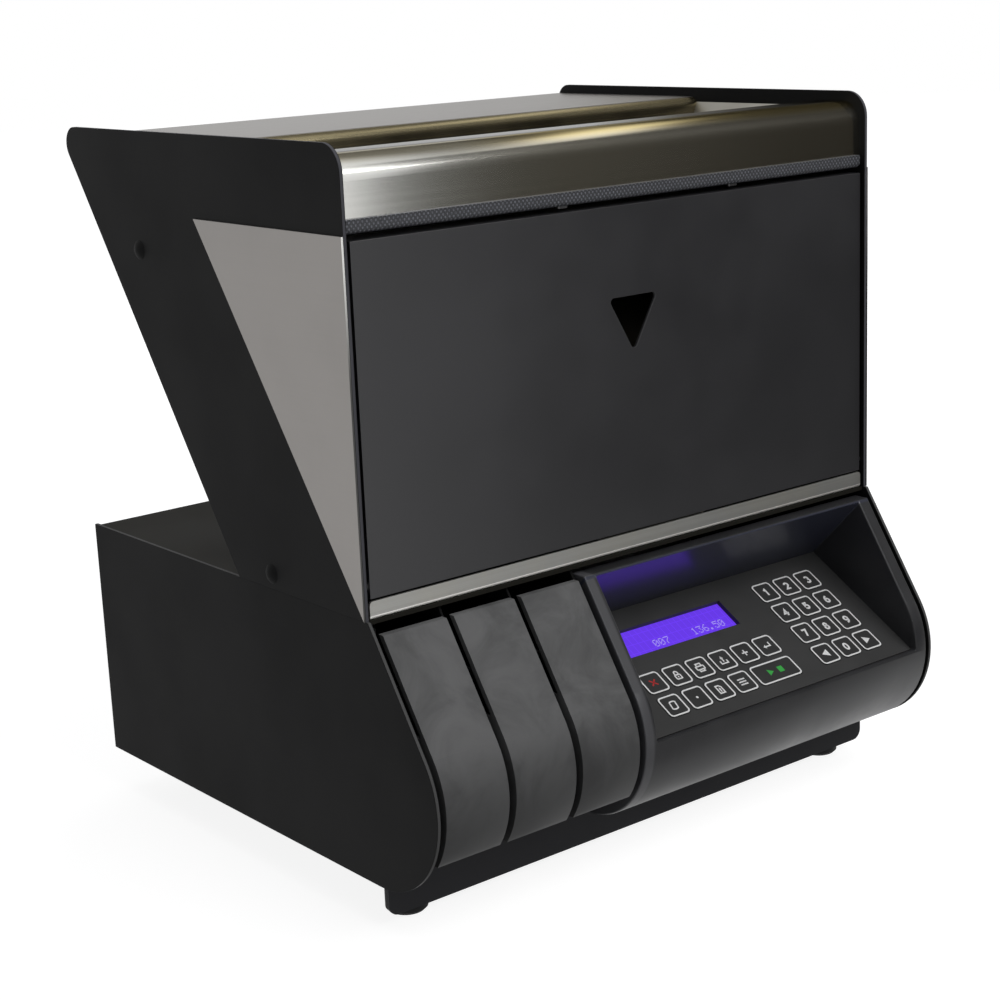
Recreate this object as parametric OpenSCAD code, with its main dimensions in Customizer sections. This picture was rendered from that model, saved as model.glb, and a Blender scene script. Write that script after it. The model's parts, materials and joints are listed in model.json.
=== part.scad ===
// Coin counting machine: a coin hopper on a sloped base with three drawers and a keypad.
// Millimetres, +Z up, X across the machine, -Y towards the user.
// The origin is on the surface that it stands on, under the middle of the base.

/* [Base] */
// Outside width across the side panels
body_w = 340; // [325:1:380]
// Depth of the base from its nose to its rear edge
base_d = 302; // [295:1:330]
// Height of the base's side panels
base_h = 130; // [124:1:145]
// Sheet of the side panels and hopper plates
panel_t = 2; // [1.5:0.1:3]
// Sheet of the pan, cover, back panel and door
sheet_t = 1.5; // [1:0.1:2]
// Sheet of the stainless pieces
steel_t = 1.2; // [0.8:0.1:1.5]
// Radius of the rounded nose
nose_r = 47; // [43:1:50]
// Lean of the sloping front, degrees from upright
slope_deg = 33.4; // [31:0.1:36]
// How far the rear wall stands inside the side panels' rear edges
rear_inset = 3.5; // [3:0.5:8]
// Depth of the fold at the cover's front edge
cover_fold = 2; // [1.6:0.1:4]
// Gap between the skirt's lower edge and the surface
skirt_gap = 6; // [3:0.5:12]
// Corner radius of the skirt
skirt_r = 5.5; // [3:0.5:9]
// Gap between the skirt's ends and the side panels
skirt_side = 2; // [1:0.5:5]

/* [Feet] */
// Height of the feet
foot_h = 23; // [18:1:30]
// Diameter of a foot
foot_dia = 21; // [16:1:24]
// Bevel round a foot's lower edge
foot_bevel = 1.5; // [0.5:0.1:3]
// Front feet: centre to the side panel's outer face
foot_side = 24; // [18:1:40]
// Front feet: centre to the skirt
foot_back = 14; // [14:1:30]
// Rear feet: centre to the side panel's outer face
rear_foot_side = 52; // [20:1:70]
// Rear feet: centre to the rear wall
rear_foot_back = 22; // [14:1:40]

/* [Hopper] */
// Height of the hopper plates above the base
tower_h = 215; // [200:1:240]
// Depth of the hopper plates where they stand on the base
tower_foot_d = 107; // [106:1:120]
// Lean of the plates' rear edge, degrees from upright
tower_lean = 34.7; // [32:0.1:36]
// Set-back of the plates' front edge from the top of the slope
tower_setback = 1.5; // [0:0.1:3]
// Corner radius at the plates' top front
tower_front_r = 13; // [10:1:16]
// Corner radius at the plates' top rear
tower_rear_r = 9; // [5:0.5:10]
// Drop of the stainless rims below the plates' top
rim_drop = 5; // [3:0.5:8]
// Inset of the back panel from the plates' rear edge
back_inset = 5; // [4:0.5:8]
// Radius of the lip's roll
lip_r = 12; // [9:1:14]
// Depth of the lip's level top between its bends
lip_flat = 13; // [8:1:18]
// Set-back of the lip behind the plates' front edge
lip_setback = 4; // [3.5:0.5:7]
// Height of the lip's front from the rim to the edge trim
lip_front_h = 28.3; // [27.5:0.1:34]
// Radius of the bend from the lip to its inner wall
lip_inner_r = 6; // [4:0.5:8]
// Height of the lip's inner wall from the rim
lip_inner_h = 118; // [60:1:140]
// Depth of the hopper's mouth
mouth_d = 91; // [88:1:100]
// Radius of the top sheet's front fold
fold_r = 5; // [3:0.5:8]
// Lean of the hopper's rear wall, degrees from upright
wall_lean = 9.5; // [9:0.1:11]
// Width of the throat at the hopper's foot
throat_w = 72; // [50:1:76]
// Depth of the throat
throat_d = 48; // [40:1:50]
// Throat's middle to the right of the machine's middle
throat_x = 30; // [28:1:40]
// Drop of the side liners' upper edges below the rim
liner_drop = 3; // [3:0.5:20]

/* [Trims] */
// Height of the stainless triangles
trim_h = 175; // [120:1:180]
// Width of the stainless triangles along their upper edge
trim_w = 124; // [90:1:130]
// Thickness of the stainless triangles
trim_t = 0.8; // [0.5:0.1:1.5]
// Height of the edge trim under the lip
edge_h = 6.6; // [5.5:0.1:8]
// Wall of the edge trim on each side of the lip
edge_wall = 2; // [1.5:0.1:2.2]
// How far the lip reaches into the edge trim
edge_grip = 4; // [2.5:0.1:4.5]
// Gap between the edge trim's ends and the hopper plates
edge_end = 1.5; // [0.5:0.1:3]
// Diameter of a button-head screw
screw_dia = 10; // [7:0.5:12]
// Height of a button head
screw_h = 2.2; // [1.5:0.1:3]
// Diameter of a screw's shank
shank_dia = 4; // [3:0.5:5]
// Screws to the plates' rear edge, measured level
screw_inset = 35.4; // [20:0.1:45]
// Height of the low screws above the base
low_screw_h = 7.7; // [7:0.1:20]
// Height of the high screws above the base
high_screw_h = 156; // [120:1:180]

/* [Door] */
// Height of the stainless sill strip
sill_h = 8.8; // [6:0.1:12]
// Radius of the sill strip's bend
sill_r = 2; // [1.6:0.1:3]
// Gap between the sill strip's ends and the hopper plates
sill_side = 1.5; // [0.5:0.1:3]
// Radius of the sill strip's upper corners
sill_corner = 2; // [1:0.1:4]
// Gap between the sill strip and the door
door_gap = 1.1; // [1:0.1:3]
// Gap between the door and the edge trim
door_top_gap = 2.7; // [2:0.1:5]
// Gap between the door and each hopper plate
door_side = 2.2; // [0.8:0.1:3]
// Set-back of the door behind the plates' front edge
door_setback = 1; // [0:0.1:2]
// Depth of the door's folded edges
door_d = 20; // [16:0.5:22]
// Width of the lips along the folded edges
door_lip = 5; // [3:0.5:8]
// Width of the triangular finger hole
finger_w = 32.2; // [26:0.1:40]
// Height of the triangular finger hole
finger_h = 27.8; // [24:0.1:36]
// Corner radius of the finger hole
finger_r = 2; // [1:0.1:3]
// Finger hole's upper edge to the door's upper edge
finger_drop = 44.4; // [30:0.1:70]
// Diameter of a pivot pin
pivot_dia = 4.5; // [4:0.1:4.7]
// Pivot to the door's front face
pivot_back = 4; // [3.9:0.1:4.5]
// Pivot to the door's lower edge
pivot_up = 5.5; // [4.5:0.1:7]
// How far a pivot pin reaches past the door's edge fold
pivot_reach = 2; // [1:0.5:5]

/* [Drawers] */
// Width of a drawer
drawer_w = 36.6; // [34:0.1:38]
// Distance from one drawer to the next
drawer_pitch = 40.8; // [40.5:0.1:42]
// First drawer to the left side panel
drawer_margin = 3.8; // [3:0.1:5]
// Drawer fronts behind the side panels' outline
drawer_inset = 0.8; // [0.3:0.1:2]
// Thickness of a drawer's front
drawer_front_t = 3; // [2:0.1:4]
// Wall of a drawer's box
drawer_wall = 1.8; // [1.2:0.1:2.5]
// Drawer's lower edge above the base's lower edge
drawer_low = 20.2; // [18:0.1:26]
// Drawer front's upper edge below the base's top
drawer_drop = 6.4; // [6:0.1:9]
// Length of a drawer
drawer_len = 150; // [120:1:152]
// Height of a drawer's box
drawer_box_h = 60; // [40:1:62]
// Sheet of the drawer bay
bay_t = 1.2; // [0.8:0.1:1.5]
// Gap between the bay walls and the cover
bay_head = 0.5; // [0.3:0.1:1]
// Bay walls behind the side panels' outline
bay_inset = 6; // [4:0.5:10]
// Gap between a drawer and the last bay wall
bay_gap = 1.4; // [0.8:0.1:2]
// Gap between the last bay wall and the control housing
housing_gap = 1; // [0.5:0.1:2]

/* [Control housing] */
// Gap between the housing and the right side panel
housing_side = 2; // [1:0.1:4]
// Housing's top below the base's top
housing_drop = 5; // [4.5:0.1:9]
// Wall of the housing
housing_wall = 2.5; // [2:0.1:3]
// Depth of the flange behind the visor's edge
visor_flange = 10; // [6:0.5:11]
// Thickness of the visor's edge
visor_edge = 1; // [0.8:0.1:2]
// Width of the housing's left rim
rim_left = 7.4; // [6:0.1:10]
// Width of the housing's right rim
rim_right = 8; // [6:0.1:10]
// Length of the keypad plate down its slope
keypad_len = 82.7; // [81:0.1:86]
// Slope of the keypad plate, degrees from level
keypad_deg = 30.1; // [28:0.1:31]
// Keypad's front edge above the base's lower edge
keypad_low = 48; // [46:0.1:50]
// Keypad's front edge behind the nose
keypad_inset = 3.5; // [3:0.1:5]
// Ledge that the keypad plate rests on
keypad_ledge = 4; // [3:0.5:6]

/* [Keypad] */
// Thickness of the keypad plate
plate_t = 2.5; // [2:0.1:3]
// Gap round the keypad plate
plate_fit = 0.2; // [0.1:0.05:0.4]
// Height of a key up the slope
key_h = 13.6; // [12:0.1:14.2]
// Space between two keys across
key_space = 2.7; // [2.5:0.1:4]
// Space between two rows of keys
row_space = 2.95; // [2.5:0.05:3]
// Corner radius of a key
key_r = 2.2; // [1:0.1:4]
// Gap round a key
key_gap = 0.25; // [0.15:0.05:0.4]
// Rise of a key above the plate
key_rise = 0.4; // [0.2:0.1:1]
// Travel of a key
key_travel = 0.5; // [0.3:0.1:0.6]
// Flange that holds a key under the plate: how far it reaches out
key_flange = 0.7; // [0.5:0.1:0.8]
// Thickness of a key's flange
key_flange_t = 0.7; // [0.5:0.1:1]
// First row of keys to the keypad's rear edge
row_first = 11.1; // [8:0.1:12]
// Function keys to the recess's left side
function_margin = 20; // [12:0.1:22]
// Function keys to the number keys
block_space = 16.4; // [10:0.1:24]
// Number keys to the recess's right side
number_margin = 15.3; // [8:0.1:16]
// Height of the display window
window_h = 18.5; // [14:0.1:19]
// Display window to the keypad's rear edge
window_top = 13.7; // [12:0.1:14]
// Display window's left end to the start of the function keys
window_start = 2.7; // [0:0.1:10]
// Display window's right end to the end of the function keys
window_end = 9.4; // [8:0.1:14]
// Border of the display round its window
display_border = 3; // [2:0.1:4]
// Depth of the circuit board below the keypad's face
board_depth = 5.2; // [5.2:0.1:7]
// Thickness of the circuit board
board_t = 1.6; // [1:0.1:2]
// Diameter of the posts between plate and board
post_dia = 5; // [4:0.5:6]

/* [Coin mechanism] */
// Radius of the feed disc
disc_r = 65; // [64:1:67]
// Thickness of the feed disc
disc_t = 4; // [3:0.5:5]
// Disc's centre behind the throat's rear edge
disc_back = 2.4; // [1:0.1:4]
// Running gap round the disc
disc_gap = 1; // [0.5:0.1:1.5]
// Wall of the disc pan
pan_wall = 3; // [2:0.5:3.5]
// Height of the disc pan
pan_h = 26; // [20:1:26.4]
// Disc pan's floor above the deck
pan_rise = 16; // [15:0.5:18]
// Deck's upper face below the base's top
deck_drop = 45; // [44.5:0.5:46]
// Sheet of the deck
deck_t = 2; // [1.5:0.1:3]
// Width of the deck
deck_w = 140; // [136:1:140]
// Depth of the deck
deck_d = 155; // [150:1:165]
// Deck's front edge in front of the disc's centre
deck_front = 50; // [46:1:52]
// Diameter of the disc's spindle
spindle_dia = 8; // [6:0.5:10]
// Running clearance round a shaft
shaft_fit = 0.05; // [0.02:0.01:0.08]
// Outside diameter of the bearing bush
bush_dia = 16; // [14:0.5:20]
// Radius of the disc's pulley
pulley_r = 28; // [24:1:30]
// Radius of the motor's pulley
motor_pulley_r = 12; // [10:1:16]
// Width of the belt
belt_w = 8; // [6:0.5:8.5]
// Thickness of the belt
belt_t = 1.5; // [1:0.1:2]
// Gap between belt and pulley
belt_gap = 0.3; // [0.2:0.05:0.4]
// Motor's axis to the deck's rear edge
motor_back = 23; // [21:1:28]
// Diameter of the gear motor
motor_dia = 34; // [28:1:40]
// Length of the gear motor
motor_len = 62; // [50:1:66]
// Diameter of the motor's shaft
motor_shaft_dia = 6; // [5:0.5:8]
// Middle of the coin outlet in front of the disc's centre
outlet_front = 20; // [18:1:24]
// Width of the coin outlet and chute
chute_w = 32; // [28:1:34]
// Fall of the chute, degrees
chute_deg = 6; // [4:0.5:7]
// Step down from the disc pan to the chute
chute_step = 1.5; // [1:0.1:2]
// Sheet of the chute
chute_t = 1.5; // [1:0.1:2]
// Height of the chute's side walls
chute_h = 10; // [7:0.5:11]
// Length of the coin sensor along the chute
sensor_len = 12; // [8:0.5:14]
// Height of the coin sensor
sensor_h = 10; // [6:0.5:10.5]

/* [Power] */
// Middle of the mains inlet to the right side panel's outer face
inlet_side = 50; // [40:1:70]
// Middle of the mains inlet above the base's lower edge
inlet_up = 46; // [35:1:80]
// Width of the inlet's flange
inlet_w = 62; // [60:1:70]
// Height of the inlet's flange
inlet_h = 32; // [30:1:40]
// Thickness of the inlet's flange
inlet_flange = 2; // [1:0.5:2.5]
// Depth of the inlet's body behind the wall
inlet_d = 24; // [20:1:30]
// Width of the plug's cavity
socket_w = 25; // [24:0.5:26]
// Height of the plug's cavity
socket_h = 17; // [16:0.5:18]
// Depth of the plug's cavity
socket_d = 16; // [14:0.5:17]
// Width of the switch's rocker
rocker_w = 12; // [10:0.5:14]
// Height of the switch's rocker
rocker_h = 17.6; // [15:0.1:20]
// Tilt of the rocker at either stop, degrees
rocker_deg = 8; // [5:0.5:9]
// Diameter of the pins that the rocker tips on
rocker_pin = 2.4; // [1.5:0.1:3]
// Width of the power supply
supply_w = 80; // [60:1:90]
// Depth of the power supply
supply_d = 70; // [50:1:75]
// Height of the power supply
supply_h = 32; // [20:1:50]

/* [Hidden] */
$fn = 96;
over = 1;           // how far a cutting shape runs past what it cuts
far = 400;          // longer than any side of the machine

half_w = body_w / 2;
in_x = half_w - panel_t;
front_y = -base_d / 2;
rear_y = base_d / 2;
rear_wall_y = rear_y - rear_inset;
z0 = foot_h;
z1 = foot_h + base_h;
cover_z = z1 - sheet_t;
pan_z = z0 + sheet_t;
nose_y = front_y + nose_r;
nose_z = z0 + nose_r;
skirt_y = nose_y;

// Hopper plates, lip, fold and throat
tower_y = slope_y(z1, 0) + tower_setback;
tower_z = z1 + tower_h;
rim_z = tower_z - rim_drop;
lip_y = tower_y + lip_setback + lip_r;
lip_z = rim_z - lip_r;
lip_face_y = lip_y - lip_r;
lip_inner_y = lip_y + lip_flat + lip_inner_r;
lip_inner_z = rim_z - lip_inner_h;
edge_z1 = rim_z - lip_front_h;
edge_z0 = edge_z1 - edge_h;
edge_w = steel_t + 2 * edge_wall;
fold_y = lip_inner_y + mouth_d + fold_r;
fold_z = rim_z - fold_r;
fold_end = [fold_y - fold_r * cos(wall_lean), fold_z + fold_r * sin(wall_lean)];
throat_y1 = wall_y(z1);
throat_y0 = throat_y1 - throat_d;
throat_x0 = throat_x - throat_w / 2;
throat_x1 = throat_x + throat_w / 2;

// Door and its pivot
door_y = tower_y + door_setback;
door_z0 = z1 + sill_h + door_gap;
door_z1 = edge_z0 - door_top_gap;
door_x = in_x - door_side;
pivot = [door_y + pivot_back, door_z0 + pivot_up];
pivot_r = pivot_dia / 2;
swing_gap = 0.6;
liner_y = pivot.x + norm([door_d - pivot_back, pivot_up]) + swing_gap;

// Drawers and their bay
drawer_z0 = z0 + drawer_low;
drawer_z1 = z1 - drawer_drop;
drawer_rear = front_y + drawer_len;
runner_gap = 0.3;
bay_floor = drawer_z0 - runner_gap - bay_t;
bay_rear = drawer_rear + 2 * bay_t;
bay_x3 = drawer_x(2) + drawer_w + bay_gap;
bay_walls = [-in_x, drawer_x(1) - bay_middle(), drawer_x(2) - bay_middle(), bay_x3];

// Control housing and keypad
housing_x0 = bay_x3 + bay_t + housing_gap;
housing_x1 = in_x - housing_side;
housing_z1 = z1 - housing_drop;
recess_x0 = housing_x0 + rim_left;
recess_x1 = housing_x1 - rim_right;
keypad_front = [front_y + keypad_inset, z0 + keypad_low];
keypad_run = [cos(keypad_deg), sin(keypad_deg)];
keypad_down = [sin(keypad_deg), -cos(keypad_deg)];
keypad_back = keypad_front + keypad_len * keypad_run;
visor_z = housing_z1 - visor_edge;
visor_lip = [slope_y(visor_z, 0), visor_z];
visor_run = unit(visor_lip - keypad_back);
visor_back = [visor_run.y, -visor_run.x];
housing_inner = corner_between(keypad_back, keypad_down, plate_t + housing_wall, visor_back, housing_wall);
housing_rear = housing_inner.x + over;
function_x = recess_x0 + function_margin;
keys_across = 9;
keys_w = recess_x1 - recess_x0 - function_margin - block_space - number_margin;
key_w = (keys_w - (keys_across - 2) * key_space) / keys_across;
key_pitch_x = key_w + key_space;
key_pitch_y = key_h + row_space;
function_end = function_x + 5 * key_pitch_x + key_w;
number_x = function_end + block_space;
window_x = function_x + window_start;
window_w = function_end - window_end - window_x;
board_gap = 0.1;

// Coin mechanism
disc_x = throat_x;
disc_y = throat_y1 + disc_back;
deck_z = z1 - deck_drop;
pan_floor_z = deck_z + pan_rise;
pan_floor_t = 2;
pan_r = disc_r + disc_gap + pan_wall;
hub_wall = 6;
hub_room = 4;
hub_r = spindle_dia / 2 + hub_wall;
hub_hole_r = hub_r + hub_room;
disc_z = pan_floor_z + pan_floor_t + disc_gap;
bush_flange = 2;
pulley_edge = 1;
pulley_z = deck_z + bush_flange + disc_gap;
pulley_h = belt_w + 2 * pulley_edge;
belt_z = pulley_z + pulley_edge;
deck_x0 = disc_x - deck_w / 2;
deck_y0 = disc_y - deck_front;
motor_y = deck_y0 + deck_d - motor_back;
drive_span = motor_y - disc_y;
shaft_in = 18;
shaft_end_gap = 2;
motor_collar = 2;
outlet_y = disc_y - outlet_front;
chute_x = disc_x - sqrt(pan_r * pan_r - outlet_front * outlet_front);
chute_gap = 0.5;
chute_run = (chute_x + in_x - 2 * bay_t) / cos(chute_deg);

// Mains inlet
inlet_x = half_w - inlet_side;
inlet_z = z0 + inlet_up;
inlet_lap = 4;
inlet_lap_z = 3;
inlet_wall = 3;
inlet_body_w = inlet_w - 2 * inlet_lap;
inlet_body_h = inlet_h - 2 * inlet_lap_z;
inlet_fit = 0.3;
socket_x = inlet_x - inlet_body_w / 2 + inlet_wall + socket_w / 2;
rocker_x = inlet_x + inlet_body_w / 2 - inlet_wall - rocker_w / 2;
rocker_room = 0.4;
rocker_z_room = 1;
rocker_pivot_d = 3;
rocker_crest = 0.8;
rocker_y = rear_wall_y + inlet_flange - rocker_crest - rocker_pivot_d;
rocker_pin_in = 2;
rocker_pin_x = rocker_w / 2 + rocker_pin_in;

// Each key's name, place across, row and width
KEYS = concat(
    [for (i = [0:8]) [str("key_", i + 1), number_x + (i % 3) * key_pitch_x, floor(i / 3), key_w]],
    [for (i = [0:2]) [["key_left", "key_0", "key_right"][i], number_x + i * key_pitch_x, 3, key_w]],
    [for (i = [0:5]) [["key_clear", "key_lock", "key_print", "key_recall", "key_add", "key_enter"][i],
                      function_x + i * key_pitch_x, 2, key_w]],
    [for (i = [0:3]) [["key_paper", "key_dot", "key_feed", "key_program"][i],
                      function_x + i * key_pitch_x, 3, key_w]],
    [["key_start", function_x + 4 * key_pitch_x, 3, key_pitch_x + key_w]]);

function unit(v) = v / norm(v);

// The sloping front at height z, inset from the outline
function slope_y(z, inset) =
    nose_y + ((z - nose_z) * sin(slope_deg) - (nose_r - inset)) / cos(slope_deg);

// The hopper plates' rear edge at height z, inset from the outline
function lean_y(z, inset) =
    tower_y + tower_foot_d + (z - z1) * tan(tower_lean) - inset / cos(tower_lean);

// The hopper's rear wall at height z
function wall_y(z) = fold_end.x - (fold_end.y - z) * tan(wall_lean);

// Left edge of drawer i, and half a gap between two drawers plus half a bay wall
function drawer_x(i) = -in_x + drawer_margin + i * drawer_pitch;
function bay_middle() = (drawer_pitch - drawer_w + bay_t) / 2;

// Underside of the chute at x
function chute_z(x) = pan_floor_z - chute_step - (chute_x - x) * tan(chute_deg);

// Where two lines through p meet after each is moved along its normal
function corner_between(p, m, a, n, b) =
    let (det = m.x * n.y - m.y * n.x)
    p + [a * n.y - b * m.y, m.x * b - n.x * a] / det;

// A profile drawn in Y and Z, carried along X
module along_x(x0, x1) {
    translate([x0, 0, 0])
        rotate([90, 0, 90])
            linear_extrude(height = x1 - x0)
                children();
}

// A profile drawn in X and Z, carried along Y
module along_y(y0, y1) {
    translate([0, y1, 0])
        rotate([90, 0, 0])
            linear_extrude(height = y1 - y0)
                children();
}

module box(low, high) {
    translate(low)
        cube(high - low);
}

// A cylinder along X, and one along Z
module rod_x(x0, x1, y, z, r) {
    translate([x0, y, z])
        rotate([0, 90, 0])
            cylinder(h = x1 - x0, r = r);
}

module rod_z(x, y, z_low, z_high, r) {
    translate([x, y, z_low])
        cylinder(h = z_high - z_low, r = r);
}

// A convex outline with its own radius at each corner, 0 for a sharp one
module rounded_area(pts, radii) {
    n = len(pts);
    corners = [for (i = [0:n - 1])
        let (p = pts[i],
             a = unit(pts[(i + n - 1) % n] - p),
             b = unit(pts[(i + 1) % n] - p),
             half = acos(a * b) / 2,
             r = radii[i])
        [p + a * r / tan(half), p + b * r / tan(half), p + unit(a + b) * r / sin(half)]];
    polygon([for (i = [0:n - 1]) each (radii[i] > 0 ? [corners[i][0], corners[i][1]] : [pts[i]])]);
    for (i = [0:n - 1])
        if (radii[i] > 0)
            translate(corners[i][2])
                circle(radii[i]);
}

module rounded_rect(w, h, r) {
    rounded_area([[0, 0], [w, 0], [w, h], [0, h]], [r, r, r, r]);
}

// A bent strip of sheet: outer radius r, thickness t, from angle a0 to a1
module bend(centre, r, t, a0, a1) {
    translate(centre)
        intersection() {
            difference() {
                circle(r);
                circle(r - t);
            }
            polygon([[0, 0], far * [cos(a0), sin(a0)], far * [cos((a0 + a1) / 2), sin((a0 + a1) / 2)],
                     far * [cos(a1), sin(a1)]]);
        }
}

module strip(y_low, z_low, y_high, z_high) {
    translate([y_low, z_low])
        square([y_high - y_low, z_high - z_low]);
}

// The machine's side outline: sloping front, rounded nose and level foot
module nose_area(inset, z_top, y_back) {
    r = nose_r - inset;
    intersection() {
        union() {
            translate([nose_y, nose_z])
                circle(r);
            polygon([[nose_y, nose_z - r], [nose_y, nose_z],
                     [nose_y - r * cos(slope_deg), nose_z + r * sin(slope_deg)],
                     [slope_y(z_top, inset), z_top], [y_back + over, z_top], [y_back + over, nose_z - r]]);
        }
        strip(front_y - over, z0 - over, y_back, z_top + over);
    }
}

// Base

module bottom_pan() {
    color("#323235") {
        box([-in_x, skirt_y, z0], [in_x, rear_wall_y, pan_z]);
        along_y(skirt_y, skirt_y + sheet_t)
            rounded_area([[-in_x + skirt_side, skirt_gap], [in_x - skirt_side, skirt_gap],
                          [in_x - skirt_side, bay_floor], [-in_x + skirt_side, bay_floor]],
                         [skirt_r, skirt_r, 0, 0]);
    }
}

module side_panel(x0) {
    color("#202022")
        along_x(x0, x0 + panel_t)
            nose_area(0, z1, rear_y);
}

module base_cover() {
    vents = 9;
    vent_w = 3;
    vent_pitch = 8;
    vent_h = 50;
    vent_x = -half_w / 2;
    vent_z = z0 + base_h / 3;
    color("#2f2d28")
        difference() {
            union() {
                box([-in_x, door_y, cover_z], [in_x, rear_wall_y, z1]);
                box([-in_x, rear_wall_y - sheet_t, pan_z], [in_x, rear_wall_y, z1]);
                box([-in_x, door_y, z1 - cover_fold], [in_x, door_y + sheet_t, z1]);
            }
            box([throat_x0, throat_y0, cover_z - over], [throat_x1, throat_y1, z1 + over]);
            box([inlet_x - inlet_body_w / 2 - inlet_fit, rear_wall_y - sheet_t - over,
                 inlet_z - inlet_body_h / 2 - inlet_fit],
                [inlet_x + inlet_body_w / 2 + inlet_fit, rear_wall_y + over,
                 inlet_z + inlet_body_h / 2 + inlet_fit]);
            for (i = [0:vents - 1])
                translate([vent_x + i * vent_pitch, 0, vent_z])
                    along_y(rear_wall_y - sheet_t - over, rear_wall_y + over)
                        rounded_rect(vent_w, vent_h, vent_w / 3);
        }
}

module rubber_foot(x, y) {
    r = foot_dia / 2;
    neck = r - foot_bevel;
    translate([x, y, 0])
        rotate_extrude()
            polygon([[0, 0], [neck, 0], [r, foot_bevel], [r, foot_h / 2],
                     [neck, foot_h / 2 + foot_bevel], [neck, foot_h], [0, foot_h]]);
}

module rubber_feet() {
    color("#161616")
        for (side = [-1, 1]) {
            rubber_foot(side * (half_w - foot_side), skirt_y + foot_back);
            rubber_foot(side * (half_w - rear_foot_side), rear_wall_y - rear_foot_back);
        }
}

// Hopper

module hopper_plate(x0) {
    color("#1f1f21")
        difference() {
            along_x(x0, x0 + panel_t)
                rounded_area([[tower_y, z1], [lean_y(z1, 0), z1], [lean_y(tower_z, 0), tower_z],
                              [tower_y, tower_z]],
                             [0, 0, tower_rear_r, tower_front_r]);
            rod_x(x0 - over, x0 + panel_t + over, pivot.x, pivot.y, pivot_r + shaft_fit);
            for (h = [low_screw_h, high_screw_h])
                rod_x(x0 - over, x0 + panel_t + over, lean_y(z1 + h, 0) - screw_inset, z1 + h,
                      shank_dia / 2 + shaft_fit);
        }
}

module side_trims() {
    color("#86817c")
        for (x0 = [-half_w - trim_t, half_w])
            along_x(x0, x0 + trim_t)
                polygon([[tower_y, z1], [tower_y + trim_w, z1 + trim_h], [tower_y, z1 + trim_h]]);
}

module button_screw() {
    r = screw_dia / 2;
    dome_r = (r * r + screw_h * screw_h) / (2 * screw_h);
    rotate([0, 90, 0]) {
        intersection() {
            translate([0, 0, screw_h - dome_r])
                sphere(dome_r);
            cylinder(h = screw_h + over, r = r);
        }
        translate([0, 0, -panel_t])
            cylinder(h = panel_t, r = shank_dia / 2);
    }
}

module plate_screws() {
    color("#18181a")
        for (h = [low_screw_h, high_screw_h]) {
            y = lean_y(z1 + h, 0) - screw_inset;
            translate([half_w, y, z1 + h])
                button_screw();
            translate([-half_w, y, z1 + h])
                rotate([0, 0, 180])
                    button_screw();
        }
}

module hopper_back_panel() {
    top = rim_z - steel_t;
    inner = back_inset + sheet_t;
    color("#222224")
        along_x(-in_x, in_x)
            polygon([[lean_y(z1, inner), z1], [lean_y(z1, back_inset), z1],
                     [lean_y(top, back_inset), top], [lean_y(top, inner), top]]);
}

module hopper_top_sheet() {
    wall_t = steel_t / cos(wall_lean);
    fold_back = fold_end + steel_t * [cos(wall_lean), -sin(wall_lean)];
    color("#a09c98")
        along_x(-in_x, in_x) {
            strip(fold_y, rim_z - steel_t, lean_y(rim_z, back_inset), rim_z);
            bend([fold_y, fold_z], fold_r, steel_t, 90, 180 - wall_lean);
            polygon([fold_end, [wall_y(z1), z1], [wall_y(z1) + wall_t, z1], fold_back]);
        }
}

module hopper_lip() {
    color("#b0a890")
        along_x(-in_x, in_x) {
            strip(lip_face_y, edge_z1 - edge_grip, lip_face_y + steel_t, lip_z);
            bend([lip_y, lip_z], lip_r, steel_t, 90, 180);
            strip(lip_y, rim_z - steel_t, lip_y + lip_flat, rim_z);
            bend([lip_y + lip_flat, rim_z - lip_inner_r], lip_inner_r, steel_t, 0, 90);
            strip(lip_inner_y - steel_t, lip_inner_z, lip_inner_y, rim_z - lip_inner_r);
        }
}

// A sloping liner on each side, from the hopper plate down to the throat
module hopper_liners() {
    low = z1 + steel_t;
    high = rim_z - liner_drop;
    color("#8c877c")
        intersection() {
            along_x(-in_x, in_x)
                polygon([[liner_y, low], [liner_y, lip_inner_z], [lip_inner_y, lip_inner_z],
                         [lip_inner_y, high], [wall_y(high), high], [wall_y(low), low]]);
            along_y(liner_y - over, wall_y(high) + over)
                for (end = [[throat_x0, -in_x], [throat_x1, in_x]]) {
                    run = end[1] - end[0];
                    out = sign(run) * steel_t * norm([run, high - low]) / (high - low);
                    polygon([[end[0], low], [end[1], high], [end[1], high - out * (high - low) / run],
                             [end[0] + out, low]]);
                }
        }
}

module lip_edge_trim() {
    mid = lip_face_y + steel_t / 2;
    r = edge_w / 2;
    color("#2a2a2c")
        along_x(-in_x + edge_end, in_x - edge_end)
            difference() {
                union() {
                    strip(mid - r, edge_z0 + r, mid + r, edge_z1);
                    translate([mid, edge_z0 + r])
                        circle(r);
                }
                strip(lip_face_y, edge_z1 - edge_grip, lip_face_y + steel_t, edge_z1 + over);
            }
}

// Door

module door_sill_strip() {
    end = in_x - sill_side;
    color("#9a958e")
        intersection() {
            along_x(-end, end) {
                strip(door_y, z1 + sill_r, door_y + steel_t, z1 + sill_h);
                bend([door_y + sill_r, z1 + sill_r], sill_r, steel_t, 180, 270);
                strip(door_y + sill_r, z1, throat_y0, z1 + steel_t);
            }
            along_y(door_y - over, throat_y0 + over)
                rounded_area([[-end, z1], [end, z1], [end, z1 + sill_h], [-end, z1 + sill_h]],
                             [0, 0, sill_corner, sill_corner]);
        }
}

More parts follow.
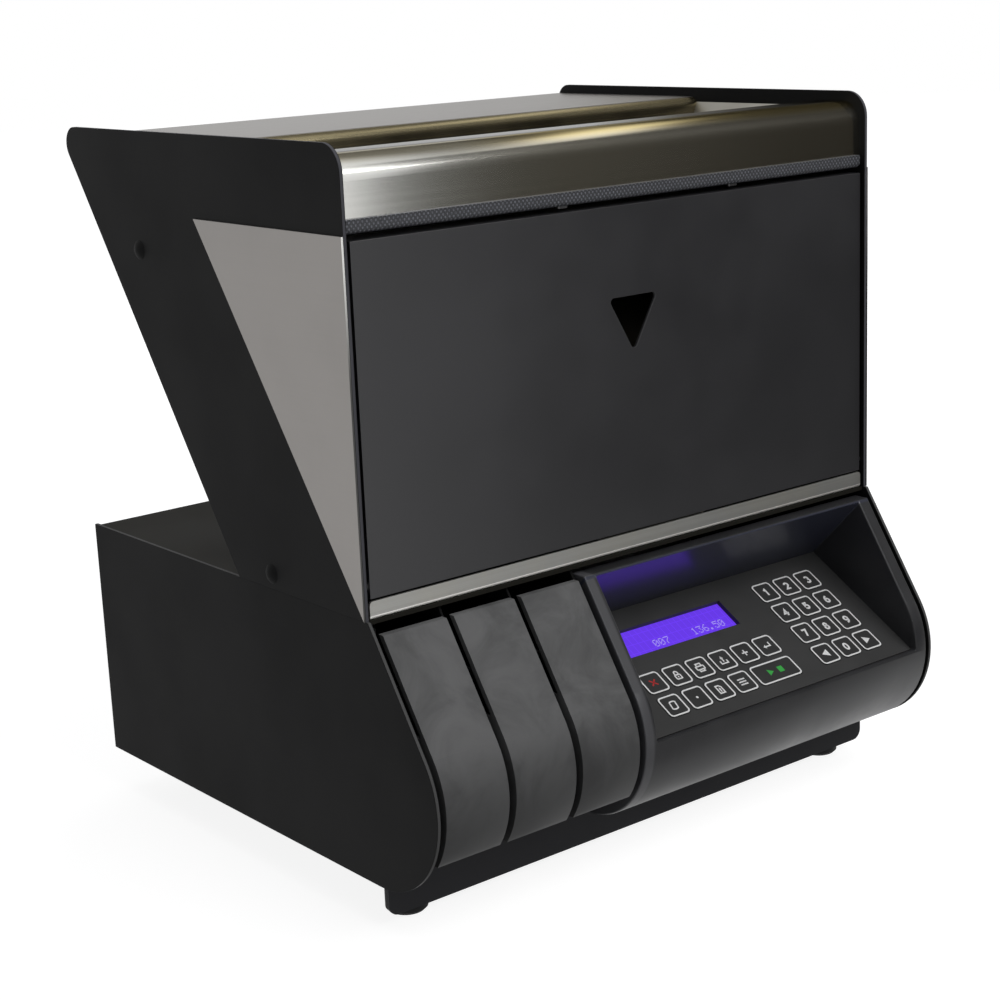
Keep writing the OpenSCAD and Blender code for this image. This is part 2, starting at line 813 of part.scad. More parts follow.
module front_door() {
    inner = sheet_t + door_lip;
    color("#38383a")
        difference() {
            box([-door_x, door_y, door_z0], [door_x, door_y + door_d, door_z1]);
            box([-door_x + sheet_t, door_y + sheet_t, door_z0 + sheet_t],
                [door_x - sheet_t, door_y + door_d - sheet_t, door_z1 - sheet_t]);
            box([-door_x + inner, door_y + sheet_t, door_z0 + inner],
                [door_x - inner, door_y + door_d + over, door_z1 - inner]);
            along_y(door_y - over, door_y + sheet_t + over)
                translate([0, door_z1 - finger_drop])
                    rounded_area([[-finger_w / 2, 0], [0, -finger_h], [finger_w / 2, 0]],
                                 [finger_r, finger_r, finger_r]);
            rod_x(-door_x - over, door_x + over, pivot.x, pivot.y, pivot_r + shaft_fit);
        }
}

module door_pivot_pins() {
    inner = door_x - sheet_t - pivot_reach;
    color("#77777a") {
        rod_x(inner, half_w, pivot.x, pivot.y, pivot_r);
        rod_x(-half_w, -inner, pivot.x, pivot.y, pivot_r);
    }
}

// Drawers

// Walls between the drawers: as high as the cover in front, and under the chute behind
module drawer_bay() {
    head = z1 - cover_fold - bay_head;
    step_y = outlet_y - chute_w / 2 - chute_t - over;
    color("#19191b") {
        for (x = bay_walls)
            along_x(x, x + bay_t)
                difference() {
                    union() {
                        difference() {
                            nose_area(bay_inset, head, bay_rear);
                            strip(front_y - far, z0 - over, bay_rear + over, bay_floor);
                        }
                        strip(skirt_y + sheet_t, pan_z, bay_rear, bay_floor + bay_t);
                    }
                    strip(step_y, chute_z(x), bay_rear + over, head + over);
                }
        box([-in_x, skirt_y, bay_floor], [bay_x3 + bay_t, bay_rear, bay_floor + bay_t]);
        box([-in_x, bay_rear - bay_t, pan_z], [bay_x3 + bay_t, bay_rear, drawer_z0 + drawer_box_h]);
    }
}

module drawer_body(i) {
    x0 = drawer_x(i);
    x1 = x0 + drawer_w;
    box_z1 = drawer_z0 + drawer_box_h;
    inner = drawer_inset + drawer_front_t;
    color("#5d5d5f") {
        along_x(x0, x1)
            intersection() {
                difference() {
                    nose_area(drawer_inset, drawer_z1, drawer_rear);
                    nose_area(inner, drawer_z1 + over, drawer_rear + over);
                }
                strip(front_y - over, drawer_z0, skirt_y, drawer_z1 + over);
            }
        for (x = [x0, x1 - drawer_wall])
            along_x(x, x + drawer_wall)
                intersection() {
                    nose_area(drawer_inset + drawer_front_t / 2, drawer_z1, drawer_rear);
                    strip(front_y - over, drawer_z0, drawer_rear, box_z1);
                }
        along_x(x0, x1)
            intersection() {
                nose_area(drawer_inset + drawer_front_t / 2, drawer_z1, drawer_rear);
                strip(front_y - over, drawer_z0, drawer_rear, drawer_z0 + drawer_wall);
            }
        box([x0, drawer_rear - drawer_wall, drawer_z0], [x1, drawer_rear, box_z1]);
    }
}

// Control housing

// The user's space above the keypad and under the visor, with the keypad plate's seat
module recess_area(seat) {
    polygon([keypad_back, visor_lip, [front_y - over, visor_lip.y], [front_y - over, keypad_front.y],
             keypad_front, keypad_front + seat * keypad_down, keypad_back + seat * keypad_down]);
}

// Children in the keypad's own frame: X across, Y up its slope, Z out of its face
module on_keypad() {
    translate([0, keypad_back.x, keypad_back.y])
        rotate([keypad_deg, 0, 0])
            children();
}

module control_housing() {
    flange_y = visor_lip.x + visor_flange;
    color("#2b2b2d")
        difference() {
            union() {
                along_x(housing_x0, housing_x1)
                    difference() {
                        nose_area(0, housing_z1, housing_rear);
                        recess_area(plate_t);
                        difference() {
                            nose_area(housing_wall, housing_z1 - housing_wall, housing_rear + over);
                            polygon([housing_inner, housing_inner + far * visor_run,
                                     housing_inner - far * keypad_run]);
                        }
                        strip(flange_y, housing_z1 - housing_wall - over, housing_rear + over,
                              housing_z1 + over);
                    }
                for (x = [[housing_x0, recess_x0], [recess_x1, housing_x1]])
                    along_x(x[0], x[1])
                        intersection() {
                            nose_area(0, housing_z1, housing_rear);
                            recess_area(plate_t);
                        }
                for (x = [housing_x0, housing_x1 - housing_wall])
                    along_x(x, x + housing_wall)
                        difference() {
                            nose_area(0, housing_z1, housing_rear);
                            strip(flange_y, keypad_back.y, housing_rear + over, housing_z1 + over);
                        }
            }
            on_keypad()
                box([recess_x0 + keypad_ledge, -keypad_len + keypad_ledge, -plate_t - housing_wall - over],
                    [recess_x1 - keypad_ledge, -keypad_ledge, over]);
            box([housing_x0 - over, skirt_y, z0 - over],
                [housing_x1 + over, housing_rear + over, bay_floor + over]);
        }
}

// A key's outline in the keypad's frame, grown by a gap
module key_area(key, grow) {
    translate([key[1] - grow, -row_first - key[2] * key_pitch_y - key_h - grow])
        rounded_rect(key[3] + 2 * grow, key_h + 2 * grow, key_r + grow);
}

module board_posts() {
    r = post_dia / 2;
    inset = keypad_ledge + post_dia;
    for (x = [recess_x0 + inset, function_end + (number_x - function_end) / 2, recess_x1 - inset / 2 - r])
        for (y = [-inset, -keypad_len + inset / 2 + r])
            rod_z(x, y, -board_depth, -plate_t, r);
}

module keypad_plate() {
    color("#2e2e2f")
        on_keypad() {
            difference() {
                box([recess_x0 + plate_fit, -keypad_len + plate_fit, -plate_t],
                    [recess_x1 - plate_fit, -plate_fit, 0]);
                for (key = KEYS)
                    translate([0, 0, -plate_t - over])
                        linear_extrude(height = plate_t + 2 * over)
                            key_area(key, key_gap);
                box([window_x, -window_top - window_h, -plate_t - over],
                    [window_x + window_w, -window_top, over]);
            }
            board_posts();
        }
}

module display_board() {
    color("#3f2fd8")
        on_keypad() {
            box([recess_x0 + keypad_ledge + over, -keypad_len + keypad_ledge + over, -board_depth - board_t],
                [recess_x1 - keypad_ledge - over, -keypad_ledge - over, -board_depth]);
            box([window_x - display_border, -window_top - window_h - display_border, -board_depth],
                [window_x + window_w + display_border, -window_top + display_border, -plate_t]);
        }
}

module key_cap(key) {
    flange_z = -plate_t - board_gap - key_flange_t;
    stem_z = -board_depth + key_travel + board_gap;
    color("#38383a")
        on_keypad() {
            translate([0, 0, flange_z])
                linear_extrude(height = key_rise - flange_z)
                    key_area(key, 0);
            translate([0, 0, flange_z])
                linear_extrude(height = key_flange_t)
                    key_area(key, key_flange);
            rod_z(key[1] + key[3] / 2, -row_first - key[2] * key_pitch_y - key_h / 2,
                  stem_z, flange_z + key_flange_t, key_h / 4);
        }
}

// Coin mechanism

module mechanism_deck() {
    x1 = deck_x0 + deck_w;
    y1 = deck_y0 + deck_d;
    foot_w = 12;
    window = 30;
    color("#8d9094")
        difference() {
            union() {
                box([deck_x0, deck_y0, deck_z - deck_t], [x1, y1, deck_z]);
                for (x = [deck_x0, x1 - deck_t])
                    box([x, deck_y0, pan_z], [x + deck_t, y1, deck_z]);
                box([deck_x0, deck_y0, pan_z], [deck_x0 + foot_w, y1, pan_z + deck_t]);
                box([x1 - foot_w, deck_y0, pan_z], [x1, y1, pan_z + deck_t]);
            }
            box([deck_x0 - over, deck_y0 + window, pan_z + window / 2],
                [x1 + over, y1 - window, deck_z - window / 2]);
            rod_z(disc_x, disc_y, deck_z - deck_t - over, deck_z + over, bush_dia / 2);
            rod_z(disc_x, motor_y, deck_z - deck_t - over, deck_z + over, motor_shaft_dia / 2 + over);
        }
}

module disc_bearing() {
    below = 8;
    color("#b08a3c")
        difference() {
            union() {
                rod_z(disc_x, disc_y, deck_z - deck_t - below, deck_z + bush_flange, bush_dia / 2);
                rod_z(disc_x, disc_y, deck_z, deck_z + bush_flange, bush_dia / 2 + bush_flange);
            }
            rod_z(disc_x, disc_y, deck_z - far / 4, deck_z + far / 4, spindle_dia / 2 + shaft_fit);
        }
}

// A flanged pulley round the Z axis, from z up
module pulley(r, z) {
    rim = 1.5;
    edge = pulley_edge;
    translate([0, 0, z])
        rotate_extrude()
            polygon([[0, 0], [r + rim, 0], [r + rim, edge / 2], [r, edge / 2 + belt_gap],
                     [r, pulley_h - edge], [0, pulley_h - edge]]);
}

module disc_spindle() {
    color("#b9bcc0")
        translate([disc_x, disc_y, 0]) {
            rod_z(0, 0, deck_z - 3 * deck_t, disc_z + disc_t, spindle_dia / 2);
            pulley(pulley_r, pulley_z);
        }
}

module feed_disc() {
    cap_h = 8;
    rim = 2;
    ribs = 3;
    rib_w = 4;
    bore = spindle_dia / 2;
    hub_z = pulley_z + pulley_h;
    color("#a9a49a")
        translate([disc_x, disc_y, 0]) {
            rotate_extrude()
                polygon([[bore, hub_z], [hub_r, hub_z], [hub_r, disc_z], [disc_r - rim, disc_z],
                         [disc_r, disc_z + rim], [disc_r, disc_z + disc_t], [hub_r + cap_h, disc_z + disc_t],
                         [hub_r, disc_z + disc_t + cap_h / 2], [rim, disc_z + disc_t + cap_h],
                         [0, disc_z + disc_t + cap_h], [0, disc_z + disc_t], [bore, disc_z + disc_t]]);
            for (i = [0:ribs - 1])
                rotate([0, 0, i * 360 / ribs])
                    box([hub_r + cap_h, -rib_w / 2, disc_z + disc_t - rim],
                        [disc_r - 2 * cap_h, rib_w / 2, disc_z + disc_t + rim]);
        }
}

module disc_pan() {
    post_r = 4;
    post_ring = pan_r - 2 * post_r;
    top = pan_floor_z + pan_h;
    color("#7c7f83")
        difference() {
            union() {
                rod_z(disc_x, disc_y, pan_floor_z, top, pan_r);
                for (a = [0, 50, 130, 180])
                    rod_z(disc_x + post_ring * cos(a), disc_y + post_ring * sin(a),
                          deck_z, pan_floor_z + over, post_r);
            }
            rod_z(disc_x, disc_y, pan_floor_z + pan_floor_t, top + over, disc_r + disc_gap);
            rod_z(disc_x, disc_y, pan_floor_z - over, top + over, hub_hole_r);
            box([disc_x - pan_r - over, outlet_y - chute_w / 2, pan_floor_z + pan_floor_t],
                [disc_x, outlet_y + chute_w / 2, top + over]);
        }
}

module gear_motor() {
    gear_h = motor_len / 3;
    foot = deck_z - deck_t;
    shaft_room = shaft_in + shaft_end_gap;
    color("#55585c")
        difference() {
            union() {
                rod_z(disc_x, motor_y, foot - gear_h, foot, motor_dia / 2 + motor_collar);
                rod_z(disc_x, motor_y, foot - motor_len, foot - gear_h, motor_dia / 2);
            }
            rod_z(disc_x, motor_y, foot - shaft_room, foot + over, motor_shaft_dia / 2 + shaft_fit);
        }
}

module motor_pulley() {
    shaft_low = deck_z - deck_t - shaft_in;
    color("#c4c6c8")
        translate([disc_x, motor_y, 0]) {
            pulley(motor_pulley_r, pulley_z);
            rod_z(0, 0, shaft_low, pulley_z + pulley_h / 2, motor_shaft_dia / 2);
        }
}

// A band round both pulleys, as far from them as grow
module belt_area(grow) {
    a = pulley_r + grow;
    b = motor_pulley_r + grow;
    lift = asin((a - b) / drive_span);
    circle(a);
    translate([0, drive_span])
        circle(b);
    polygon([a * [cos(lift), sin(lift)], b * [cos(lift), sin(lift)] + [0, drive_span],
             b * [-cos(lift), sin(lift)] + [0, drive_span], a * [-cos(lift), sin(lift)]]);
}

module drive_belt() {
    color("#1a1a1a")
        translate([disc_x, disc_y, belt_z + belt_gap])
            linear_extrude(height = belt_w - 2 * belt_gap)
                difference() {
                    belt_area(belt_gap + belt_t);
                    belt_area(belt_gap);
                }
}

// Children in the chute's own frame: X down its fall from the pan's outlet, Z out of its floor
module on_chute() {
    translate([chute_x, outlet_y, pan_floor_z - chute_step])
        rotate([0, -chute_deg, 0])
            children();
}

module coin_chute() {
    side = chute_w / 2;
    hole_w = drawer_w - 4 * drawer_wall;
    color("#8f9296")
        difference() {
            on_chute()
                difference() {
                    box([-chute_run, -side - chute_t, 0], [side, side + chute_t, chute_h]);
                    box([-chute_run + chute_t, -side, chute_t], [side + over, side, chute_h + over]);
                    for (i = [0:2]) {
                        along = (chute_x - drawer_x(i) - drawer_w / 2) / cos(chute_deg);
                        box([-along - hole_w / 2, -side + chute_t, -over],
                            [-along + hole_w / 2, side - chute_t, chute_t + over]);
                    }
                }
            rod_z(disc_x, disc_y, deck_z, z1, pan_r + chute_gap);
        }
}

module coin_sensor() {
    side = chute_w / 2 + chute_t;
    eye = 6;
    color("#242426")
        on_chute()
            difference() {
                box([-2 * sensor_len, -side, chute_h], [-sensor_len, side, chute_h + sensor_h]);
                box([-2 * sensor_len - over, -eye / 2, chute_h - over],
                    [-sensor_len + over, eye / 2, chute_h + eye / 2]);
            }
}

// Power

module power_inlet() {
    bevel = 5;
    room = rocker_room;
    color("#1c1c1e")
        difference() {
            union() {
                box([inlet_x - inlet_w / 2, rear_wall_y, inlet_z - inlet_h / 2],
                    [inlet_x + inlet_w / 2, rear_wall_y + inlet_flange, inlet_z + inlet_h / 2]);
                box([inlet_x - inlet_body_w / 2, rear_wall_y - inlet_d, inlet_z - inlet_body_h / 2],
                    [inlet_x + inlet_body_w / 2, rear_wall_y + over, inlet_z + inlet_body_h / 2]);
            }
            translate([socket_x, 0, inlet_z])
                along_y(rear_wall_y + inlet_flange - socket_d, rear_wall_y + inlet_flange + over)
                    polygon([[-socket_w / 2, -socket_h / 2], [socket_w / 2, -socket_h / 2],
                             [socket_w / 2, socket_h / 2 - bevel], [socket_w / 2 - bevel, socket_h / 2],
                             [-socket_w / 2 + bevel, socket_h / 2], [-socket_w / 2, socket_h / 2 - bevel]]);
            box([rocker_x - rocker_w / 2 - room, rear_wall_y - rocker_w,
                 inlet_z - rocker_h / 2 - rocker_z_room],
                [rocker_x + rocker_w / 2 + room, rear_wall_y + inlet_flange + over,
                 inlet_z + rocker_h / 2 + rocker_z_room]);
            rod_x(rocker_x - rocker_pin_x - room, rocker_x + rocker_pin_x + room, rocker_y, inlet_z,
                  rocker_pin / 2 + shaft_fit);
        }
}

// The rocker, tipped to its off side about a pivot behind its face
module power_switch() {
    depth = 4.5;
    corner = rocker_pivot_d + rocker_crest / 2;
    color("#141414")
        translate([0, rocker_y, inlet_z])
            rotate([-rocker_deg, 0, 0]) {
                along_x(rocker_x - rocker_w / 2, rocker_x + rocker_w / 2)
                    polygon([[rocker_pivot_d - depth, -rocker_h / 2], [corner, -rocker_h / 2],
                             [rocker_pivot_d - rocker_crest, 0],
                             [corner, rocker_h / 2], [rocker_pivot_d - depth, rocker_h / 2]]);
                rod_x(rocker_x - rocker_pin_x, rocker_x + rocker_pin_x, 0, 0, rocker_pin / 2);
            }
}

module power_supply() {
    lid = 2;
    y0 = deck_y0 + lid;
    x0 = disc_x - supply_w / 2;
    color("#aeb1b4") {
        box([x0, y0, pan_z], [x0 + supply_w, y0 + supply_d, pan_z + supply_h - lid]);
        box([x0 + lid, y0 + lid, pan_z + lid], [x0 + supply_w - lid, y0 + supply_d - lid, pan_z + supply_h]);
    }
}

bottom_pan();
side_panel(-half_w);  // left_side_panel
side_panel(in_x);  // right_side_panel
base_cover();
rubber_feet();
hopper_plate(-half_w);  // left_hopper_plate
hopper_plate(in_x);  // right_hopper_plate
side_trims();
plate_screws();
hopper_back_panel();
hopper_top_sheet();
hopper_lip();
hopper_liners();
lip_edge_trim();
door_sill_strip();
front_door();
door_pivot_pins();
drawer_bay();
drawer_body(0);  // drawer_left
drawer_body(1);  // drawer_middle
drawer_body(2);  // drawer_right
control_housing();
keypad_plate();
display_board();
mechanism_deck();
disc_bearing();
disc_spindle();
feed_disc();
disc_pan();
gear_motor();
motor_pulley();
drive_belt();
coin_chute();
coin_sensor();
power_inlet();
power_switch();
power_supply();
for (key = KEYS)
    key_cap(key);
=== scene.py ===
"""Looks of a coin counting machine, laid out as an add-on and run as a script.

The frame holds the sheet metal, hopper, door, drawers, housing, keys and mechanism. This file gives
them their finishes, some with painted highlights, reflections and shade, and adds the printed key
signs, the lit display, the door catches, the socket's pins, dark hexagons as painted shade in the
screws' sockets, and the stage.
"""
import json
import math
from functools import cached_property

import bpy
import numpy as np
from bpy.props import FloatProperty, FloatVectorProperty, PointerProperty
from bpy.types import Operator, Panel, PropertyGroup
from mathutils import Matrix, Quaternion, Vector


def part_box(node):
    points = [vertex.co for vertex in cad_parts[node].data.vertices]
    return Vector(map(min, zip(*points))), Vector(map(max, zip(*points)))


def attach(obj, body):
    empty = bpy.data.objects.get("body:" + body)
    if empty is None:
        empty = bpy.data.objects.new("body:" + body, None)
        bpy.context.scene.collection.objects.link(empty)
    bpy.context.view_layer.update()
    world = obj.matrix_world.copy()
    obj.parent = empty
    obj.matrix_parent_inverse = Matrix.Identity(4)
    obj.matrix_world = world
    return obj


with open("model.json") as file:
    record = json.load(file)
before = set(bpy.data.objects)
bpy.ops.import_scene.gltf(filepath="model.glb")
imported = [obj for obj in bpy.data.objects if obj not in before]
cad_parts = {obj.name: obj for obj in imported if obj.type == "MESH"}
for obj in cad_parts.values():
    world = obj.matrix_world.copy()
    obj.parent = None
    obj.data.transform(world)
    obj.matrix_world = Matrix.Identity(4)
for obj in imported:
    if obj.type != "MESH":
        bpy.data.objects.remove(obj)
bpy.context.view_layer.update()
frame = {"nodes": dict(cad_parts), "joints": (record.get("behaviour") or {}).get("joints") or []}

bl_info = {
    "name": "Coin Counting Machine",
    "version": (1, 0, 0),
    "blender": (4, 5, 0),
    "location": "View3D > Sidebar > Coin Counter",
    "description": "Finishes, printed signs, display and stage of a coin counting machine",
    "category": "Object",
}

NODES = frame["nodes"]
JOINTS = {joint["name"]: joint for joint in frame["joints"]}
MM = 0.001
NEAR = 0.01 * MM  # points this close count as one place or one face
MITRE = 0.45  # least cosine of half a stroke's turn, which keeps its sharp corners short

NUMBER_KEYS = ["key_%d" % digit for digit in range(10)]
ARROW_KEYS = ["key_left", "key_right"]
FUNCTION_KEYS = ["key_clear", "key_lock", "key_print", "key_recall", "key_add", "key_enter",
                 "key_paper", "key_dot", "key_feed", "key_program", "key_start"]
ALL_KEYS = NUMBER_KEYS + ARROW_KEYS + FUNCTION_KEYS
DRAWERS = ["drawer_left", "drawer_middle", "drawer_right"]

# Print and display; SHOWN gives the place and sign of each character
OUTLINE_R = 1.9 * MM
ARROW_SIZE, SIGN_SIZE = 1.45, 1.28  # heights of the arrows and the other signs, in digit heights
GROUND_IN, GROUND_R, GROUND_T = 2.6 * MM, 0.4 * MM, 0.05 * MM  # the lit ground's inset, corners, thickness
SHOWN = ((6, "0"), (7, "0"), (8, "7"), (13, "1"), (14, "3"), (15, "6"), (16, "."), (17, "5"), (18, "0"))
MIDDLE_PLACE = 9.5  # middle of a row of twenty characters
LOWER_ROW, ROW_STRETCH = -1.2 * MM, 1.06  # top of the lower row, and its rows' distance in dot pitches

# Catches, inlet and screws; PINS are places from the socket's middle, across and up
CATCHES = (("door_catch_left", -0.041), ("door_catch_right", 0.0725))
CATCH_D, CATCH_R, CATCH_H, CATCH_CROWN, CATCH_SUNK = 2.4 * MM, 0.8 * MM, 1.1 * MM, 0.25 * MM, 0.2 * MM
SOCKET_X, SOCKET_DEPTH = 0.1085, 16.0 * MM
PINS = ((-7.0 * MM, -1.8 * MM), (0.0, 2.2 * MM), (7.0 * MM, -1.8 * MM))
PIN_LENGTH, PIN_R, PIN_CROWN = 11.5 * MM, 0.5 * MM, 0.5 * MM
INLET_SCREW_R, INLET_SCREW_IN, INLET_SCREW_H, INLET_SCREW_CROWN = 1.5 * MM, 2.1 * MM, 0.3 * MM, 0.45 * MM
ROCKER_TIP, GROOVE_REACH = math.radians(-8.0), 2.2 * MM  # the rocker's lean at rest, and pivot to groove
MARK_SIZE, MARK_PLACE = 1.5 * MM, 0.55  # ring's radius, and a mark's place from groove to end
BAR_HALF = 1.6 * MM
SCREW_SOCKET_R, SCREW_SOCKET_T, SCREW_SOCKET_IN = 1.7 * MM, 0.02 * MM, 0.32 * MM

# Stage; the front flag is given across and up, the other sheets in the frame
WHITE, COOL_WHITE = (1.0, 1.0, 1.0), (0.96, 0.98, 1.0)
SENSOR_W = 36.0
FLOOR_R, FLOOR_RINGS, FLOOR_TURN = 6.0, 12, 7.5  # radius in metres, rings, and degrees between points
LAMP_TARGET = Vector((0.0, -0.02, 0.17))
LAMPS = (  # name, place, size, property of its power, and whether glossy surfaces mirror it
    ("Key light", (0.5, -1.45, 1.65), (1.6, 1.2), "key_power", True),
    ("Fill light", (1.6, -0.9, 0.7), (0.8, 1.0), "fill_power", True),
    ("Top light", (-0.2, 0.2, 1.8), (1.4, 1.0), "top_power", True),
    ("Back light", (1.45, 0.95, 0.8), (1.4, 1.0), "back_power", False),
)
FRONT_FLAG = ((0.2, 0.0), (0.66, 0.0), (0.66, 1.0), (0.335, 1.0), (0.17, 0.33), (0.17, 0.26))
FRONT_FLAG_X, FRONT_FLAG_Y, FRONT_FLAG_TURN = 0.17, -0.56, 0.61  # its left end, and its slant in depth
REAR_FLAG = ((0.59, 0.58, 0.2), (1.5, 0.58, 0.2), (1.5, 0.58, 0.9), (0.59, 0.58, 0.9))
MAT = ((-0.05, -0.2, 0.002), (0.05, -0.53, 0.002), (0.2, -0.53, 0.002), (0.6, -0.29, 0.002),
       (0.6, -0.2, 0.002))
CEILING = ((0.615, -1.0, 0.9), (1.5, -1.0, 0.9), (1.5, 0.58, 0.9), (-0.35, 0.58, 0.9), (-0.35, 0.135, 0.9))


# Properties

def colour(name, description, default):
    """A colour property, in linear light."""
    return FloatVectorProperty(name=name, description=description, default=default, size=3,
                               min=0.0, max=1.0, subtype="COLOR")


def length(name, description, default):
    """A length property, in metres."""
    return FloatProperty(name=name, description=description, default=default, min=0.0, unit="LENGTH",
                         precision=5)


def angle(name, description, degrees):
    return FloatProperty(name=name, description=description, default=math.radians(degrees), subtype="ANGLE")


def amount(name, description, default):
    return FloatProperty(name=name, description=description, default=default)


class CoinCounterFinish(PropertyGroup):
    """Colours of the finishes"""
    black_paint: colour("Black paint", "Powder coat of the side panels and hopper plates",
                        (0.0055, 0.0055, 0.0057))
    # Panel edge and plate edge are painted highlights on the cut edges of the side panels and hopper plates,
    # where the front light catches them.
    panel_edge_highlight: colour("Panel edge", "Worn edges of the side panels", (0.09, 0.09, 0.09))
    plate_edge: colour("Plate edge", "Cut edges of the hopper plates", (0.085, 0.085, 0.096))
    cover_paint: colour("Cover paint", "Powder coat of the base cover", (0.0155, 0.0147, 0.012))
    skirt_paint: colour("Skirt paint", "Powder coat of the pan and its skirt", (0.017, 0.017, 0.0195))
    door_paint: colour("Door paint", "Powder coat of the front door", (0.0155, 0.0153, 0.0178))
    steel: colour("Stainless steel", "Bare brushed steel of the lip and sill", (0.82, 0.82, 0.795))
    dull_steel: colour("Dull steel", "Matt steel of the side trims and top sheet", (0.27, 0.257, 0.246))
    # Straw tint; over the lip's bend and the top sheet's fold it is painted as a warm reflection and
    # highlight, and in the sill it tints stains.
    straw: colour("Straw tint", "Warm tint in the brushed steel of the lip", (0.66, 0.56, 0.31))
    # A darker brown on the hopper's inside, for the rear wall's bands and the liners' tint.
    hopper_brown: colour("Smoke tint", "Brown tint of the hopper's inside", (0.11, 0.095, 0.06))
    drawer_grey: colour("Drawer grey", "Moulded drawers", (0.088, 0.088, 0.089))
    housing_black: colour("Housing black", "Moulded control housing", (0.025, 0.025, 0.027))
    film: colour("Keypad film", "Overlay of the keypad", (0.045, 0.045, 0.0452))
    sign_white: colour("Sign white", "Printed outlines and signs", (0.95, 0.95, 0.95))
    sign_red: colour("Sign red", "Printed sign of the clear key", (0.55, 0.02, 0.02))
    sign_green: colour("Sign green", "Printed sign of the start key", (0.04, 0.5, 0.07))
    display_blue: colour("Display blue", "Lit ground of the display", (0.128, 0.037, 0.77))
    display_dot: colour("Display dots", "Lit dots of the display", (0.36, 0.29, 0.8))
    zinc: colour("Zinc", "Plated steel of the mechanism", (0.46, 0.47, 0.48))
    alloy: colour("Alloy", "Turned aluminium of the mechanism", (0.56, 0.56, 0.57))
    bronze: colour("Bronze", "Bearing bush", (0.5, 0.33, 0.13))
    rubber: colour("Rubber", "Feet and belt", (0.01, 0.01, 0.0105))


class CoinCounterSizes(PropertyGroup):
    """Sizes of the printed and added details"""
    outline_w: length("Outline width", "Width of a key's printed outline", 0.9 * MM)
    outline_in: length("Outline inset", "Outline's middle to the key's edge", 0.55 * MM)
    sign_h: length("Digit height", "Height of a printed digit", 4.9 * MM)
    stroke_w: length("Stroke width", "Width of a digit's strokes", 1.2 * MM)
    fine_w: length("Fine stroke", "Width of a function sign's strokes", 0.85 * MM)
    print_t: length("Print thickness", "Thickness of the print", 0.04 * MM)
    dot_w: length("Dot width", "Width of a display dot", 0.56 * MM)
    dot_pitch: length("Dot pitch", "Distance from one display dot to the next", 0.66 * MM)
    cell_pitch: length("Character pitch", "Distance from one character to the next", 3.95 * MM)
    catch_w: length("Catch width", "Width of a door catch", 6.0 * MM)
    pin_w: length("Pin width", "Width of a socket pin", 4.0 * MM)
    pin_t: length("Pin thickness", "Thickness of a socket pin", 2.0 * MM)
    edge_bevel: length("Edge bevel", "Rounding of the sheet edges", 0.35 * MM)
    mould_bevel: length("Mould bevel", "Rounding of the drawers' and housing's edges", 0.8 * MM)


class CoinCounterStage(PropertyGroup):
    """Camera and light of the stage"""
    lens: amount("Lens", "Focal length of the camera in mm", 73.722)
    azimuth: angle("Azimuth", "Turn of the camera's view", 38.572)
    elevation: angle("Elevation", "Fall of the camera's view", 14.339)
    roll: angle("Roll", "Turn of the picture", -2.392)
    place: FloatVectorProperty(name="Camera", description="Place of the camera",
                               default=(-0.67321, -0.83639, 0.43445), subtype="TRANSLATION")
    key_power: amount("Key light", "Power of the key light in watts", 22.0)
    fill_power: amount("Fill light", "Power of the fill light in watts", 1.2)
    top_power: amount("Top light", "Power of the top light in watts", 5.0)
    back_power: amount("Back light", "Power of the rear light in watts", 9.0)
    air: amount("Room light", "Strength of the even light", 0.2)


def finish_of(context):
    return context.scene.coin_counter_finish


def sizes_of(context):
    return context.scene.coin_counter_sizes


# Nodes

def scaled(tone, factor):
    return tuple(c * factor for c in tone)


def cleared(owner):
    """The emptied node tree of a material or world."""
    owner.use_nodes = True
    owner.node_tree.nodes.clear()
    return owner.node_tree


